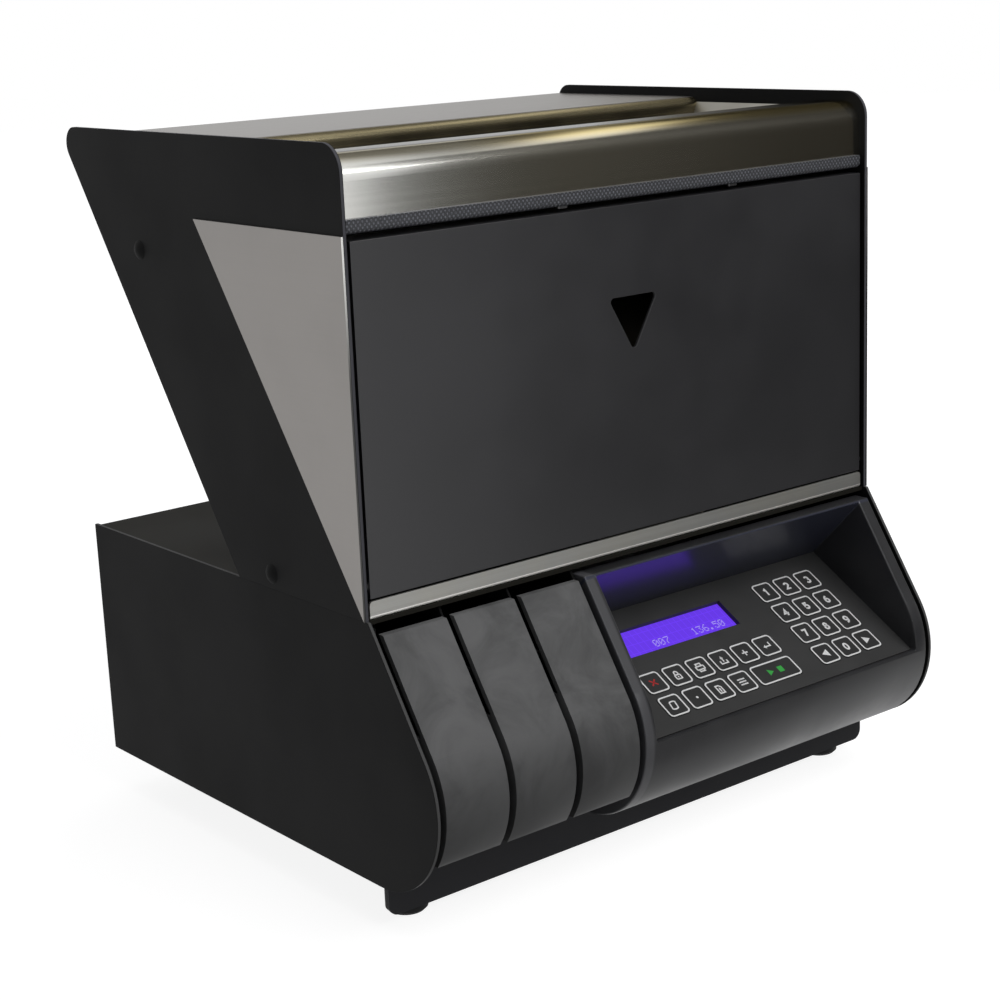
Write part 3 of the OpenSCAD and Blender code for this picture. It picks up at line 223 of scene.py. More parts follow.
class Nodes:
    """Writes the nodes of one tree. A value that is a socket is linked, and any other is set."""

    def __init__(self, tree):
        self.tree = tree

    def feed(self, socket, value):
        if isinstance(value, bpy.types.NodeSocket):
            self.tree.links.new(value, socket)
        elif socket.type == "RGBA":
            socket.default_value = (*value[:3], 1.0)
        else:
            socket.default_value = value

    def put(self, kind, inputs=None, **attributes):
        node = self.tree.nodes.new(kind)
        for name, value in attributes.items():
            setattr(node, name, value)
        for name, value in (inputs or {}).items():
            self.feed(node.inputs[name], value)
        return node

    def math(self, operation, a, b=0.0, clamp=False):
        return self.put("ShaderNodeMath", {0: a, 1: b}, operation=operation, use_clamp=clamp).outputs[0]

    def times(self, a, b):
        return self.math("MULTIPLY", a, b)

    def plus(self, a, b):
        return self.math("ADD", a, b)

    def less(self, a, b):
        return self.math("SUBTRACT", a, b)

    def vector(self, operation, a, b=(0.0, 0.0, 0.0)):
        outputs = self.put("ShaderNodeVectorMath", {0: a, 1: b}, operation=operation).outputs
        return outputs["Value" if operation in ("LENGTH", "DOT_PRODUCT") else "Vector"]

    def ramp(self, value, low, high):
        """0 below low, 1 above high and a smooth step between them."""
        return self.put("ShaderNodeMapRange", {"Value": value, "From Min": low, "From Max": high},
                        interpolation_type="SMOOTHSTEP").outputs["Result"]

    def spread(self, value, low, high):
        """Stretches a value of 0 to 1 to lie from low to high."""
        inputs = {"Value": value, "To Min": low, "To Max": high}
        return self.put("ShaderNodeMapRange", inputs).outputs["Result"]

    def mix(self, factor, a, b):
        return self.put("ShaderNodeMix", {"Factor": factor, 6: a, 7: b}, data_type="RGBA").outputs[2]

    def blend(self, factor, a, b):
        return self.put("ShaderNodeMix", {"Factor": factor, 2: a, 3: b}, data_type="FLOAT").outputs[0]

    def noise(self, vector, scale, detail=2.0, roughness=0.5, distortion=0.0):
        inputs = {"Vector": vector, "Scale": scale, "Detail": detail, "Roughness": roughness,
                  "Distortion": distortion}
        return self.put("ShaderNodeTexNoise", inputs).outputs["Fac"]

    def stretched(self, vector, scale):
        return self.put("ShaderNodeMapping", {"Vector": vector, "Scale": scale}).outputs["Vector"]

    def split(self, vector):
        return self.put("ShaderNodeSeparateXYZ", {"Vector": vector}).outputs

    def seen(self):
        """1 for a ray from the camera, a mirror or a glass."""
        rays = self.put("ShaderNodeLightPath").outputs
        return self.math("MAXIMUM", rays["Is Camera Ray"],
                         self.math("MAXIMUM", rays["Is Glossy Ray"], rays["Is Transmission Ray"]))


def draw_grain(nodes, given):
    """Powder coat or moulded skin: fine grain as height, and slow clouds with a few specks as masks."""
    place, grain = given["Vector"], given["Grain"]
    fine = nodes.noise(place, grain, 1.0)
    coarse = nodes.noise(place, nodes.times(grain, 0.37))
    height = nodes.plus(nodes.times(fine, 0.6), nodes.times(coarse, 0.4))
    cloud = nodes.ramp(nodes.noise(place, given["Cloud"], 4.0, 0.6), 0.32, 0.68)
    speck = nodes.ramp(nodes.noise(place, nodes.times(grain, 0.2), 1.0), 0.72, 0.8)
    return height, cloud, speck


def draw_brush(nodes, given):
    """Brushed steel: noise drawn out along one direction, as fine lines, broad lines and a slow stain."""
    drawn = nodes.stretched(given["Vector"], given["Draw"])
    stain = nodes.ramp(nodes.noise(given["Vector"], 14.0, 4.0, 0.6), 0.35, 0.7)
    return nodes.noise(drawn, 1.0, 2.0, 0.6), nodes.noise(drawn, 0.18), stain


def draw_marks(nodes, given):
    """Handling marks: two clouds of different size, the finer one warped, as one mask, and streaks."""
    place, size = given["Vector"], given["Size"]
    fine = nodes.noise(place, size, 5.0, 0.62, 0.8)
    slow = nodes.noise(place, nodes.times(size, 0.4))
    mask = nodes.ramp(nodes.plus(nodes.times(fine, 0.6), nodes.times(slow, 0.4)), 0.38, 0.66)
    drawn = nodes.stretched(place, (12.0, 70.0, 70.0))
    return mask, nodes.ramp(nodes.noise(drawn, 1.0, 4.0, 0.7), 0.58, 0.75)


GROUPS = {  # inputs with their defaults, outputs, and the function that draws the group
    "Skin grain": ({"Vector": None, "Grain": 1500.0, "Cloud": 9.0}, ("Height", "Cloud", "Speck"), draw_grain),
    "Brush lines": ({"Vector": None, "Draw": (6.0, 2600.0, 2600.0)}, ("Lines", "Broad", "Stain"), draw_brush),
    "Handling marks": ({"Vector": None, "Size": 24.0}, ("Mask", "Streak"), draw_marks),
}


def shared_group(name):
    """The shader node group of that name, which is made at its first use."""
    if name not in bpy.data.node_groups:
        inputs, outputs, draw = GROUPS[name]
        tree = bpy.data.node_groups.new(name, "ShaderNodeTree")
        for label, default in inputs.items():
            kind = "NodeSocketFloat" if isinstance(default, float) else "NodeSocketVector"
            socket = tree.interface.new_socket(name=label, in_out="INPUT", socket_type=kind)
            if default is not None:
                socket.default_value = default
        for label in outputs:
            tree.interface.new_socket(name=label, in_out="OUTPUT", socket_type="NodeSocketFloat")
        nodes = Nodes(tree)
        results = draw(nodes, nodes.put("NodeGroupInput").outputs)
        nodes.put("NodeGroupOutput", dict(zip(outputs, results)))
    return bpy.data.node_groups[name]


class Surface(Nodes):
    """A new material, whose nodes are still to be written."""

    def __init__(self, name):
        self.material = bpy.data.materials.new(name)
        super().__init__(cleared(self.material))

    @cached_property
    def where(self):
        """Object coordinates of the surface, which are the frame's own, in metres."""
        return self.put("ShaderNodeTexCoord").outputs["Object"]

    @cached_property
    def at(self):
        """X, Y and Z of the surface's place."""
        return self.split(self.where)

    def group(self, name, **inputs):
        """Outputs of a shared group, which takes the surface's place as its vector."""
        inputs["Vector"] = self.where
        return self.put("ShaderNodeGroup", inputs, node_tree=shared_group(name)).outputs

    def show(self, shader):
        self.put("ShaderNodeOutputMaterial", {"Surface": shader.outputs[0]})


class Finish(Surface):
    """A new material with its Principled shader."""

    def __init__(self, name):
        super().__init__(name)
        self.shader = self.put("ShaderNodeBsdfPrincipled")
        self.show(self.shader)

    def bump(self, height, distance, strength=1.0):
        node = self.put("ShaderNodeBump", {"Height": height, "Distance": distance, "Strength": strength})
        self.shade(Normal=node.outputs["Normal"])

    def shade(self, **sockets):
        """Feeds the shader's sockets, with _ for a space in their names, and returns the material."""
        for name, value in sockets.items():
            self.feed(self.shader.inputs[name.replace("_", " ")], value)
        return self.material


def wear(material, *nodes):
    """Gives the CAD nodes a material of their own."""
    for name in nodes:
        slots = NODES[name].data.materials
        slots.clear()
        slots.append(material)


# Finishes

LENGTHWISE = (1.2, 500.0, 500.0)  # brush lines along the hopper's width


def paint(name, base, cloud, roughness, specular=0.3, grain=1500.0, edge=None):
    """Powder coat: a little lighter and duller in slow clouds, with an orange-peel grain.

    An edge of (colour, inner, outer) is a painted highlight, the colour between two distances from the
    middle plane, which on a side panel are the cut faces of its sheet."""
    f = Finish(name)
    skin = f.group("Skin grain", Grain=grain, Cloud=7.0)
    tone = f.mix(skin["Cloud"], base, scaled(base, 1.0 + cloud))
    tone = f.mix(f.times(skin["Speck"], 0.25), tone, scaled(base, 2.2))
    if edge:
        # painted highlight on the cut faces
        edge_highlight, inner, outer = edge
        reach, fade = f.math("ABSOLUTE", f.at["X"]), 0.2 * MM
        cut = f.times(f.ramp(reach, inner, inner + fade), f.less(1.0, f.ramp(reach, outer - fade, outer)))
        tone = f.mix(cut, tone, edge_highlight)
    f.bump(skin["Height"], 0.06 * MM, 0.5)
    return f.shade(Base_Color=tone, Specular_IOR_Level=specular,
                   Roughness=f.spread(skin["Cloud"], roughness - 0.04, roughness + 0.05))


def brushed(name, base, tint, draw, roughness=0.3, contrast=0.16, tint_share=0.35, front=None, hem=None):
    """Brushed steel: fine lines in tone and height, broad lines, and a slow tint.

    A front of (colour, depth, height) is a painted highlight on the cut face at that depth, which darkens
    downwards from that height. A hem of (colour, height, depth) is a painted highlight along the lower
    edge, up to that height, and behind that depth the steel is painted dark as shade."""
    f = Finish(name)
    lines = f.group("Brush lines", Draw=draw)
    dark = scaled(base, 1.0 - contrast)
    tone = f.mix(lines["Lines"], dark, base)
    tone = f.mix(f.times(lines["Broad"], 0.25), tone, dark)
    tone = f.mix(f.times(lines["Stain"], tint_share), tone, tint)
    if front:
        # painted highlight on the cut face, darker downwards
        bright, depth, height = front
        cut = f.mix(f.ramp(f.at["Z"], height - 70 * MM, height), scaled(bright, 0.1), bright)
        tone = f.mix(f.ramp(f.at["Y"], depth + 0.15 * MM, depth + 0.4 * MM), cut, tone)
    if hem:
        # painted highlight on the lower edge, and painted shade behind it
        bright, height, depth = hem
        tone = f.mix(f.ramp(f.at["Z"], height - 0.4 * MM, height), bright, tone)
        tone = f.mix(f.ramp(f.at["Y"], depth, depth + 1 * MM), tone, scaled(base, 0.03))
    f.bump(lines["Lines"], 0.01 * MM, 0.5)
    return f.shade(Base_Color=tone, Metallic=1.0,
                   Roughness=f.spread(lines["Lines"], roughness - 0.05, roughness + 0.08))


def lip_steel(name, steel, straw):
    """The lip's steel, brushed along its length. The straw over its bend and to the right is a painted warm
    reflection, and the grey on top is painted shade, darker at the front and much darker to the right.
    """
    f = Finish(name)
    lines = f.group("Brush lines", Draw=LENGTHWISE)
    low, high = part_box("hopper_lip")
    at = f.at
    bend = f.ramp(at["Z"], high.z - 5.5 * MM, high.z - 1.5 * MM)
    crest = f.times(f.ramp(at["Y"], low.y + 9 * MM, low.y + 12.5 * MM),
                    f.ramp(at["Z"], high.z - 8 * MM, high.z - 5 * MM))
    back = f.ramp(at["Y"], low.y + 15 * MM, low.y + 26 * MM)
    along = f.ramp(at["X"], low.x + 20 * MM, low.x + 140 * MM)
    far = f.ramp(at["X"], 0.0, 100 * MM)
    # painted reflection: the straw share grows to the right and over the bend
    share = f.math("MAXIMUM", f.times(along, f.spread(bend, 0.3, 1.0)), f.times(bend, 0.4))
    tone = f.mix(share, f.mix(lines["Lines"], scaled(steel, 0.84), steel), straw)
    # painted shade on the crest: darker at the front, and far darkens it to the right
    top = f.mix(back, scaled(steel, 0.36), scaled(steel, 0.75))
    tone = f.mix(crest, tone, f.mix(far, top, scaled(straw, 0.12)))
    tone = f.mix(f.times(lines["Broad"], 0.1), tone, scaled(straw, 0.5))
    return f.shade(Base_Color=tone, Metallic=1.0, Specular_Tint=(0.4, 0.4, 0.4),
                   Roughness=f.spread(lines["Lines"], 0.155, 0.175))


def sheet_steel(name, steel, straw, hopper_brown):
    """The top sheet's steel: dull grey above, a painted straw highlight over the fold, and darker brown bands
    on the upper rear wall.
    """
    f = Finish(name)
    lines = f.group("Brush lines", Draw=LENGTHWISE)
    depth = f.less(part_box("hopper_top_sheet")[1].z, f.at["Z"])
    fold = f.ramp(depth, 0.1 * MM, 0.6 * MM)
    wall = f.ramp(depth, 2.5 * MM, 6 * MM)
    tone = f.mix(lines["Lines"], scaled(steel, 0.77), scaled(steel, 0.91))
    bands = f.ramp(f.noise(f.stretched(f.where, (24.0, 3.0, 2.0)), 1.0), 0.3, 0.7)
    # darker brown bands on the upper rear wall, fading back to grey further down
    deep = f.mix(bands, scaled(hopper_brown, 0.6), scaled(hopper_brown, 1.3))
    deep = f.mix(f.ramp(depth, 20 * MM, 60 * MM), deep, tone)
    # painted highlight: pale straw over the fold
    fold_highlight = tuple(c * 0.48 + 0.04 for c in straw)
    tone = f.mix(wall, f.mix(fold, tone, fold_highlight), deep)
    return f.shade(Base_Color=tone, Metallic=1.0,
                   Roughness=f.less(f.spread(lines["Lines"], 0.36, 0.46), f.times(fold, 0.14)))


def knurled_rubber(name, base):
    """Edge trim: staggered rows of small bosses, where a sine along the trim times a cosine up it
    is high, with a painted highlight on their crowns in patches."""
    f = Finish(name)
    at = f.at
    along = f.math("SINE", f.times(at["X"], 2 * math.pi / (2.4 * MM)))
    up = f.math("COSINE", f.times(at["Z"], 2 * math.pi / (2.8 * MM)))
    boss = f.ramp(f.times(along, up), 0.0, 0.6)
    patch = f.noise(f.where, 900.0)
    # painted highlight: the bosses' crowns are painted paler in patches
    crown = f.times(boss, f.ramp(patch, 0.2, 0.6))
    f.bump(boss, 0.4 * MM)
    return f.shade(Base_Color=f.mix(crown, base, scaled(base, 4.2)), Roughness=f.spread(patch, 0.42, 0.6))


def moulded(name, base, pale, roughness, smudge=24.0, share=0.5, specular=0.45, grain=2200.0, lower_shade=None):
    """Moulded plastic: satin skin with fine grain, cloudy handling marks and faint streaks.

    A lower shade of (colour, low, high) is painted shade: a darker second skin, which fades in below the
    higher of two heights."""
    f = Finish(name)
    skin = f.group("Skin grain", Grain=grain, Cloud=11.0)
    marks = f.group("Handling marks", Size=smudge)
    mask = f.times(marks["Mask"], share)
    tone = f.mix(f.times(marks["Streak"], share * 0.35), f.mix(mask, base, pale), pale)
    if lower_shade:
        deep, low, high = lower_shade
        # painted shade: darker below the heights
        tone = f.mix(f.ramp(f.at["Z"], low, high), f.mix(mask, deep, scaled(deep, 1.5)), tone)
    f.bump(skin["Height"], 0.05 * MM, 0.45)
    return f.shade(Base_Color=tone, Specular_IOR_Level=specular,
                   Roughness=f.spread(marks["Mask"], roughness - 0.06, roughness + 0.08))


def housing_plastic(name, base):
    """The housing's plastic: satin outside, with a painted highlight at the left rim, and polished on the
    visor's wall behind the keypad, which is what lies near the plane through the wall's foot and top.
    The wall is also painted paler and bluish, as a painted reflection of the lit display."""
    f = Finish(name)
    skin = f.group("Skin grain", Grain=2200.0, Cloud=11.0)
    marks = f.group("Handling marks", Size=20.0)
    low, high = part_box("control_housing")
    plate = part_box("keypad_plate")[1]
    foot = Vector((0.0, plate.y, plate.z))
    top = Vector((0.0, low.y + 41.5 * MM, high.z - 1 * MM))
    run = (top - foot).normalized()
    away = f.vector("DOT_PRODUCT", f.vector("SUBTRACT", f.where, foot), Vector((0.0, -run.z, run.y)))
    near = f.less(1.0, f.ramp(f.math("ABSOLUTE", away), 0.4 * MM, 1.2 * MM))
    tone = f.mix(f.times(marks["Mask"], 0.4), base, scaled(base, 1.9))
    # painted highlight: the left rim is painted paler, where light from the front left falls on it
    tone = f.mix(f.ramp(f.at["X"], low.x + 4.5 * MM, low.x + 6.5 * MM), scaled(base, 3.2), tone)
    # painted reflection: a paler bluish colour on the visor's wall, like the lit display mirrored in it
    wall = (base[0] * 1.7, base[1] * 1.85, base[2] * 2.6)
    f.bump(skin["Height"], 0.04 * MM, 0.4)
    return f.shade(Base_Color=f.mix(near, tone, wall), Specular_IOR_Level=0.3, Coat_Roughness=0.22,
                   Roughness=f.blend(near, f.spread(marks["Mask"], 0.36, 0.46), 0.3),
                   Coat_Weight=f.times(near, 0.5))


def turned_alloy(name, base, middle):
    """Turned metal: rings round an upright axis, with a slow stain."""
    f = Finish(name)
    off = f.vector("SUBTRACT", f.where, (middle[0], middle[1], 0.0))
    radius = f.vector("LENGTH", f.stretched(off, (1.0, 1.0, 0.0)))
    wave = f.math("SINE", f.times(radius, 2 * math.pi / (1.2 * MM)))
    rings = f.plus(f.times(wave, 0.5), 0.5)
    cloud = f.noise(f.where, 18.0, 3.0)
    tone = f.mix(f.times(rings, 0.4), base, scaled(base, 0.6))
    f.bump(rings, 0.02 * MM, 0.6)
    return f.shade(Base_Color=f.mix(f.times(cloud, 0.35), tone, scaled(base, 0.7)), Metallic=1.0,
                   Roughness=f.spread(cloud, 0.26, 0.44))


def print_ink(name, base):
    """Printed ink: slightly uneven in tone and gloss."""
    f = Finish(name)
    cloud = f.noise(f.where, 700.0)
    return f.shade(Base_Color=f.mix(cloud, scaled(base, 0.82), base), Roughness=f.spread(cloud, 0.45, 0.6))


def lit_ground(name, base, pitch):
    """The display's lit ground: faint character cells and a slow fall of light, from its own UV in metres."""
    f = Finish(name)
    face = f.put("ShaderNodeUVMap", uv_map="Face").outputs["UV"]
    at = f.split(face)
    cell = f.math("PINGPONG", at["X"], pitch / 2)
    row = f.math("PINGPONG", at["Y"], pitch * 0.75)
    grid = f.times(f.ramp(cell, 0.0, pitch * 0.1), f.ramp(row, 0.0, pitch * 0.1))
    fall = f.ramp(f.noise(face, 18.0, 1.0), 0.2, 0.9)
    tone = f.mix(grid, scaled(base, 1.12), scaled(base, 0.96))
    tone = f.mix(f.times(fall, 0.25), tone, scaled(base, 1.2))
    return f.shade(Base_Color=f.mix(grid, scaled(base, 0.2), scaled(base, 0.1)), Roughness=0.35,
                   Emission_Color=tone, Emission_Strength=1.0)


def lit_dots(name, base):
    """The display's lit dots."""
    f = Finish(name)
    cloud = f.noise(f.where, 400.0, 1.0)
    return f.shade(Base_Color=f.mix(cloud, scaled(base, 0.2), scaled(base, 0.3)),
                   Emission_Color=f.mix(cloud, scaled(base, 0.85), base), Emission_Strength=1.0)


# Shapes

def outward(points, faces):
    """Turns the faces of one closed shell to point outwards, by the sign of its volume."""
    points, volume = points - points.mean(0), 0.0
    for count in {len(face) for face in faces}:
        corners = points[np.array([face for face in faces if len(face) == count])]
        for k in range(1, count - 1):
            volume += np.einsum("ij,ij->", corners[:, 0], np.cross(corners[:, k], corners[:, k + 1]))
    return faces if volume > 0 else [face[::-1] for face in faces]


def band(path, width, height, closed=False):
    """A printed stroke: a rectangle, as wide as the stroke and as high as the print, carried along a path.

    At each point the two edges lie half the width to either side, along the mean of the normals of
    the two straight runs that meet there, drawn out by one over the cosine of half the turn."""
    path = np.asarray(path, float)
    after = np.roll(path, -1, 0) - path
    if not closed:
        after[-1] = after[-2]
    after /= np.linalg.norm(after, axis=1, keepdims=True)
    before = np.roll(after, 1, 0)
    if not closed:
        before[0] = after[0]
    side = np.stack([-(after + before)[:, 1], (after + before)[:, 0]], 1)
    side /= np.linalg.norm(side, axis=1, keepdims=True)
    lean = np.einsum("ij,ij->i", side, np.stack([-after[:, 1], after[:, 0]], 1))
    side *= (width / 2 / np.maximum(lean, MITRE))[:, None]
    count = len(path)
    points = np.zeros((count, 4, 3))
    points[:, 0, :2] = points[:, 3, :2] = path + side
    points[:, 1, :2] = points[:, 2, :2] = path - side
    points[:, 2:, 2] = height
    i = np.arange(count if closed else count - 1)[:, None]
    j = np.arange(4)[None, :]
    ahead, turn = (i + 1) % count, (j + 1) % 4
    faces = np.stack([i * 4 + j, i * 4 + turn, ahead * 4 + turn, ahead * 4 + j], -1).reshape(-1, 4).tolist()
    if not closed:
        faces += [[3, 2, 1, 0], [count * 4 - 4, count * 4 - 3, count * 4 - 2, count * 4 - 1]]
    points = points.reshape(-1, 3)
    return points, outward(points, faces)


def pad(rim, height, crown=0.0):
    """A filled sign: a fan from its middle to its rim, closed by walls and a fan below.

    The upper middle stands above the rim by the crown."""
    rim = np.asarray(rim, float)
    count = len(rim)
    points = np.zeros((2 * count + 2, 3))
    points[:count, :2] = points[count:2 * count, :2] = rim
    points[:count, 2] = height
    points[2 * count:, :2] = rim.mean(0)
    points[2 * count, 2] = height + crown
    i = np.arange(count)
    ahead = (i + 1) % count
    faces = np.stack([np.full(count, 2 * count), i, ahead], 1).tolist()
    faces += np.stack([i, i + count, ahead + count, ahead], 1).tolist()
    faces += np.stack([np.full(count, 2 * count + 1), ahead + count, i + count], 1).tolist()
    return points, outward(points, faces)


def round_box(size, radius, steps=4):
    """A rim: a rectangle whose corners are quarter circles."""
    half = np.array(size[:2]) / 2 - radius
    turn = np.radians(np.linspace(0, 90, steps + 1))
    bow = radius * np.stack([np.cos(turn), np.sin(turn)], 1)
    return np.concatenate([(bow @ np.array([[c, s], [-s, c]])) + half * corner for c, s, corner in (
        (1, 0, (1, 1)), (0, 1, (-1, 1)), (-1, 0, (-1, -1)), (0, -1, (1, -1)))])


def arc(cx, cy, rx, ry, start, end, steps=14):
    """Points on an ellipse from one angle to another, in degrees."""
    turn = np.radians(np.linspace(start, end, steps))
    return np.stack([cx + rx * np.cos(turn), cy + ry * np.sin(turn)], 1)


def ring(cx, cy, rx, ry, steps=28):
    return arc(cx, cy, rx, ry, 0, 360 - 360 / steps, steps)


def joined(*runs):
    return np.concatenate([np.asarray(run, float) for run in runs])


def digit_paths():
    """Strokes of the digits in a box one high, as (path, closed) pairs."""
    return {
        0: [(ring(0, 0, 0.26, 0.42), True)],
        1: [([(-0.2, 0.22), (0.06, 0.42), (0.06, -0.5)], False)],
        2: [(joined(arc(0, 0.17, 0.26, 0.25, 165, -25), [(-0.25, -0.42), (0.32, -0.42)]), False)],
        3: [(arc(0, 0.2, 0.23, 0.22, 155, -82), False), (arc(0, -0.19, 0.27, 0.24, 88, -158), False)],
        4: [([(0.1, -0.5), (0.1, 0.4), (-0.28, -0.16), (0.34, -0.16)], False)],
        5: [(joined([(0.25, 0.42), (-0.18, 0.42), (-0.22, 0.02)],
                    arc(0.0, -0.15, 0.27, 0.27, 130, -155)), False)],
        6: [(ring(0, -0.16, 0.26, 0.26), True), (arc(0.16, -0.12, 0.42, 0.56, 175, 90), False)],
        7: [([(-0.3, 0.42), (0.26, 0.42), (-0.08, -0.5)], False)],
        8: [(ring(0, 0.21, 0.21, 0.2), True), (ring(0, -0.19, 0.26, 0.24), True)],
        9: [(ring(0, 0.16, 0.26, 0.26), True), (arc(-0.16, 0.12, 0.42, 0.56, -5, -90), False)],
    }


def sign_paths():
    """Strokes and filled figures of the function signs in a box one high: (bands, pads)."""
    page = [(-0.26, -0.4), (0.26, -0.4), (0.26, 0.22), (0.08, 0.4), (-0.26, 0.4)]
    scroll = joined(arc(0.06, 0.28, 0.3, 0.12, 170, 20, 8), arc(-0.06, -0.28, 0.3, 0.12, -10, -160, 8))
    tray = [(-0.36, -0.06), (-0.36, -0.38), (0.36, -0.38), (0.36, -0.06)]
    shackle = joined([(-0.18, 0.02)], arc(0, 0.2, 0.18, 0.2, 180, 0), [(0.18, 0.02)])
    return {
        "key_clear": ([([(-0.3, -0.3), (0.3, 0.3)], False), ([(-0.3, 0.3), (0.3, -0.3)], False)], []),
        "key_lock": ([(round_box((0.56, 0.44), 0.06) + [0, -0.2], True), (shackle, False)],
                     [ring(0, -0.2, 0.07, 0.09, 12)]),
        "key_print": ([(round_box((0.84, 0.36), 0.06) + [0, -0.04], True),
                       ([(-0.24, 0.16), (-0.24, 0.42), (0.24, 0.42), (0.24, 0.16)], False),
                       ([(-0.24, -0.2), (-0.24, -0.42), (0.24, -0.42), (0.24, -0.2)], False)], []),
        "key_recall": ([([(0, -0.2), (0, 0.3)], False), (tray, False)],
                       [[(-0.18, 0.14), (0.18, 0.14), (0, 0.44)]]),
        "key_add": ([([(-0.32, 0), (0.32, 0)], False), ([(0, -0.32), (0, 0.32)], False)], []),
        "key_enter": ([([(0.36, 0.32), (0.36, -0.1), (-0.2, -0.1)], False)],
                      [[(-0.16, 0.1), (-0.44, -0.1), (-0.16, -0.3)]]),
        "key_paper": ([(scroll, True)], []),
        "key_dot": ([], [ring(0, 0, 0.12, 0.12, 16)]),
        "key_feed": ([(page, True), ([(0, -0.28), (0, 0.02)], False)],
                     [[(-0.13, 0.0), (0.13, 0.0), (0, 0.2)]]),
        "key_program": ([([(-0.4, y), (0.4, y)], False) for y in (-0.28, 0.0, 0.28)],
                        [ring(x, y, 0.09, 0.09, 12) for x, y in ((-0.14, -0.28), (0.2, 0.0), (-0.02, 0.28))]),
        "key_start": ([], [[(-0.85, -0.34), (-0.25, 0.0), (-0.85, 0.34)],
                           [(0.3, -0.3), (0.86, -0.3), (0.86, 0.3), (0.3, 0.3)]]),
        "key_left": ([], [[(0.3, -0.36), (0.3, 0.36), (-0.36, 0.0)]]),
        "key_right": ([], [[(-0.3, 0.36), (-0.3, -0.36), (0.36, 0.0)]]),
    }


DOT_ROWS = {  # five by seven dots of each display character, one row after another
    "0": "01110 10001 10011 10101 11001 10001 01110", "1": "00100 01100 00100 00100 00100 00100 01110",
    "3": "11111 00010 00100 00010 00001 10001 01110", "5": "11111 10000 11110 00001 00001 10001 01110",
    "6": "00110 01000 10000 11110 10001 10001 01110", "7": "11111 00001 00010 00100 01000 01000 01000",
    ".": "00000 00000 00000 00000 00000 01100 01100",
}


def points_of(node):
    """A CAD node's points as rows."""
    mesh = NODES[node].data
    points = np.empty(len(mesh.vertices) * 3)
    mesh.vertices.foreach_get("co", points)
    return points.reshape(-1, 3)


class Slope:
    """The keypad's own directions: across, up its slope and out of its face."""

    def __init__(self):
        out = -np.array(JOINTS["key_5_press"]["axis"], float)
        across = np.array([1.0, 0.0, 0.0])
        self.rows = np.stack([across, np.cross(out, across), out])

    def set_in(self, points, middle, top):
        """Points given as (across, up, out) from a face's middle, in the frame."""
        return (points + np.array([*middle, top])) @ self.rows

    def face(self, node):
        """Middle, half sizes and height of a node's upper face."""
        points = points_of(node) @ self.rows.T
        top = points[:, 2].max()
        flat = points[points[:, 2] > top - NEAR, :2]
        low, high = flat.min(0), flat.max(0)
        return (low + high) / 2, (high - low) / 2, top


def gather(shells):
    """Joins closed shells into one list of points and faces."""
    points, faces, start = [], [], 0
    for some, around in shells:
        points.append(some)
        faces += [[index + start for index in face] for face in around]
        start += len(some)
    return np.concatenate(points), faces


def new_object(name, points, faces, material):
    """A mesh object at the origin."""
    mesh = bpy.data.meshes.new(name)
    mesh.from_pydata(np.asarray(points, float).tolist(), [], faces)
    mesh.validate()
    mesh.materials.append(material)
    made = bpy.data.objects.new(name, mesh)
    bpy.context.scene.collection.objects.link(made)
    return made


def make_piece(name, points, faces, material, body, slot):
    """A mesh object that rides on a body of the frame."""
    piece = new_object(name, points, faces, material)
    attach(piece, body)
    return piece


def soften(size, *nodes):
    """Rounds the edges of CAD nodes a little: equal corners are joined, then sharp edges get a bevel."""
    for name in nodes:
        join = NODES[name].modifiers.new("Join corners", "WELD")
        join.merge_threshold = NEAR
        edge = NODES[name].modifiers.new("Round edges", "BEVEL")
        edge.width = size
        edge.segments = 2
        edge.limit_method = "ANGLE"
        edge.angle_limit = math.radians(35)


# Operators

class COINCOUNTER_OT_paint_sheet_metal(Operator):
    """Powder coats the panels, plates, cover, pan, door and back panel"""
    bl_idname = "coincounter.paint_sheet_metal"
    bl_label = "Paint Sheet Metal"

    def execute(self, context):
        tones = finish_of(context)
        black = tones.black_paint
        low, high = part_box("right_hopper_plate")
        # Painted highlights on the cut edges of the plates and panels, where the front light catches them.
        plate_edge = (tones.plate_edge, low.x + 0.2 * MM, high.x - 0.15 * MM)
        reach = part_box("right_side_panel")[1].x
        panel_edge = (tones.panel_edge_highlight, reach - 1.8 * MM, reach - 0.15 * MM)
        wear(paint("Black powder coat", black, 0.25, 0.62, 0.09), "hopper_back_panel", "plate_screws")
        wear(paint("Plate powder coat", black, 0.25, 0.62, 0.09, edge=plate_edge),
             "left_hopper_plate", "right_hopper_plate")
        wear(paint("Panel powder coat", black, 0.25, 0.62, 0.08, edge=panel_edge),
             "left_side_panel", "right_side_panel")
        wear(paint("Bay powder coat", scaled(black, 0.6), 0.25, 0.7, 0.08), "drawer_bay")
        wear(paint("Cover powder coat", tones.cover_paint, 0.3, 0.66, 0.05), "base_cover")
        wear(paint("Skirt powder coat", tones.skirt_paint, 0.25, 0.6, 0.16), "bottom_pan")
        wear(paint("Door powder coat", tones.door_paint, 0.14, 0.42, 0.72, 1900.0), "front_door")
        wear(paint("Motor enamel", (0.05, 0.055, 0.06), 0.3, 0.4), "gear_motor")
        return {"FINISHED"}


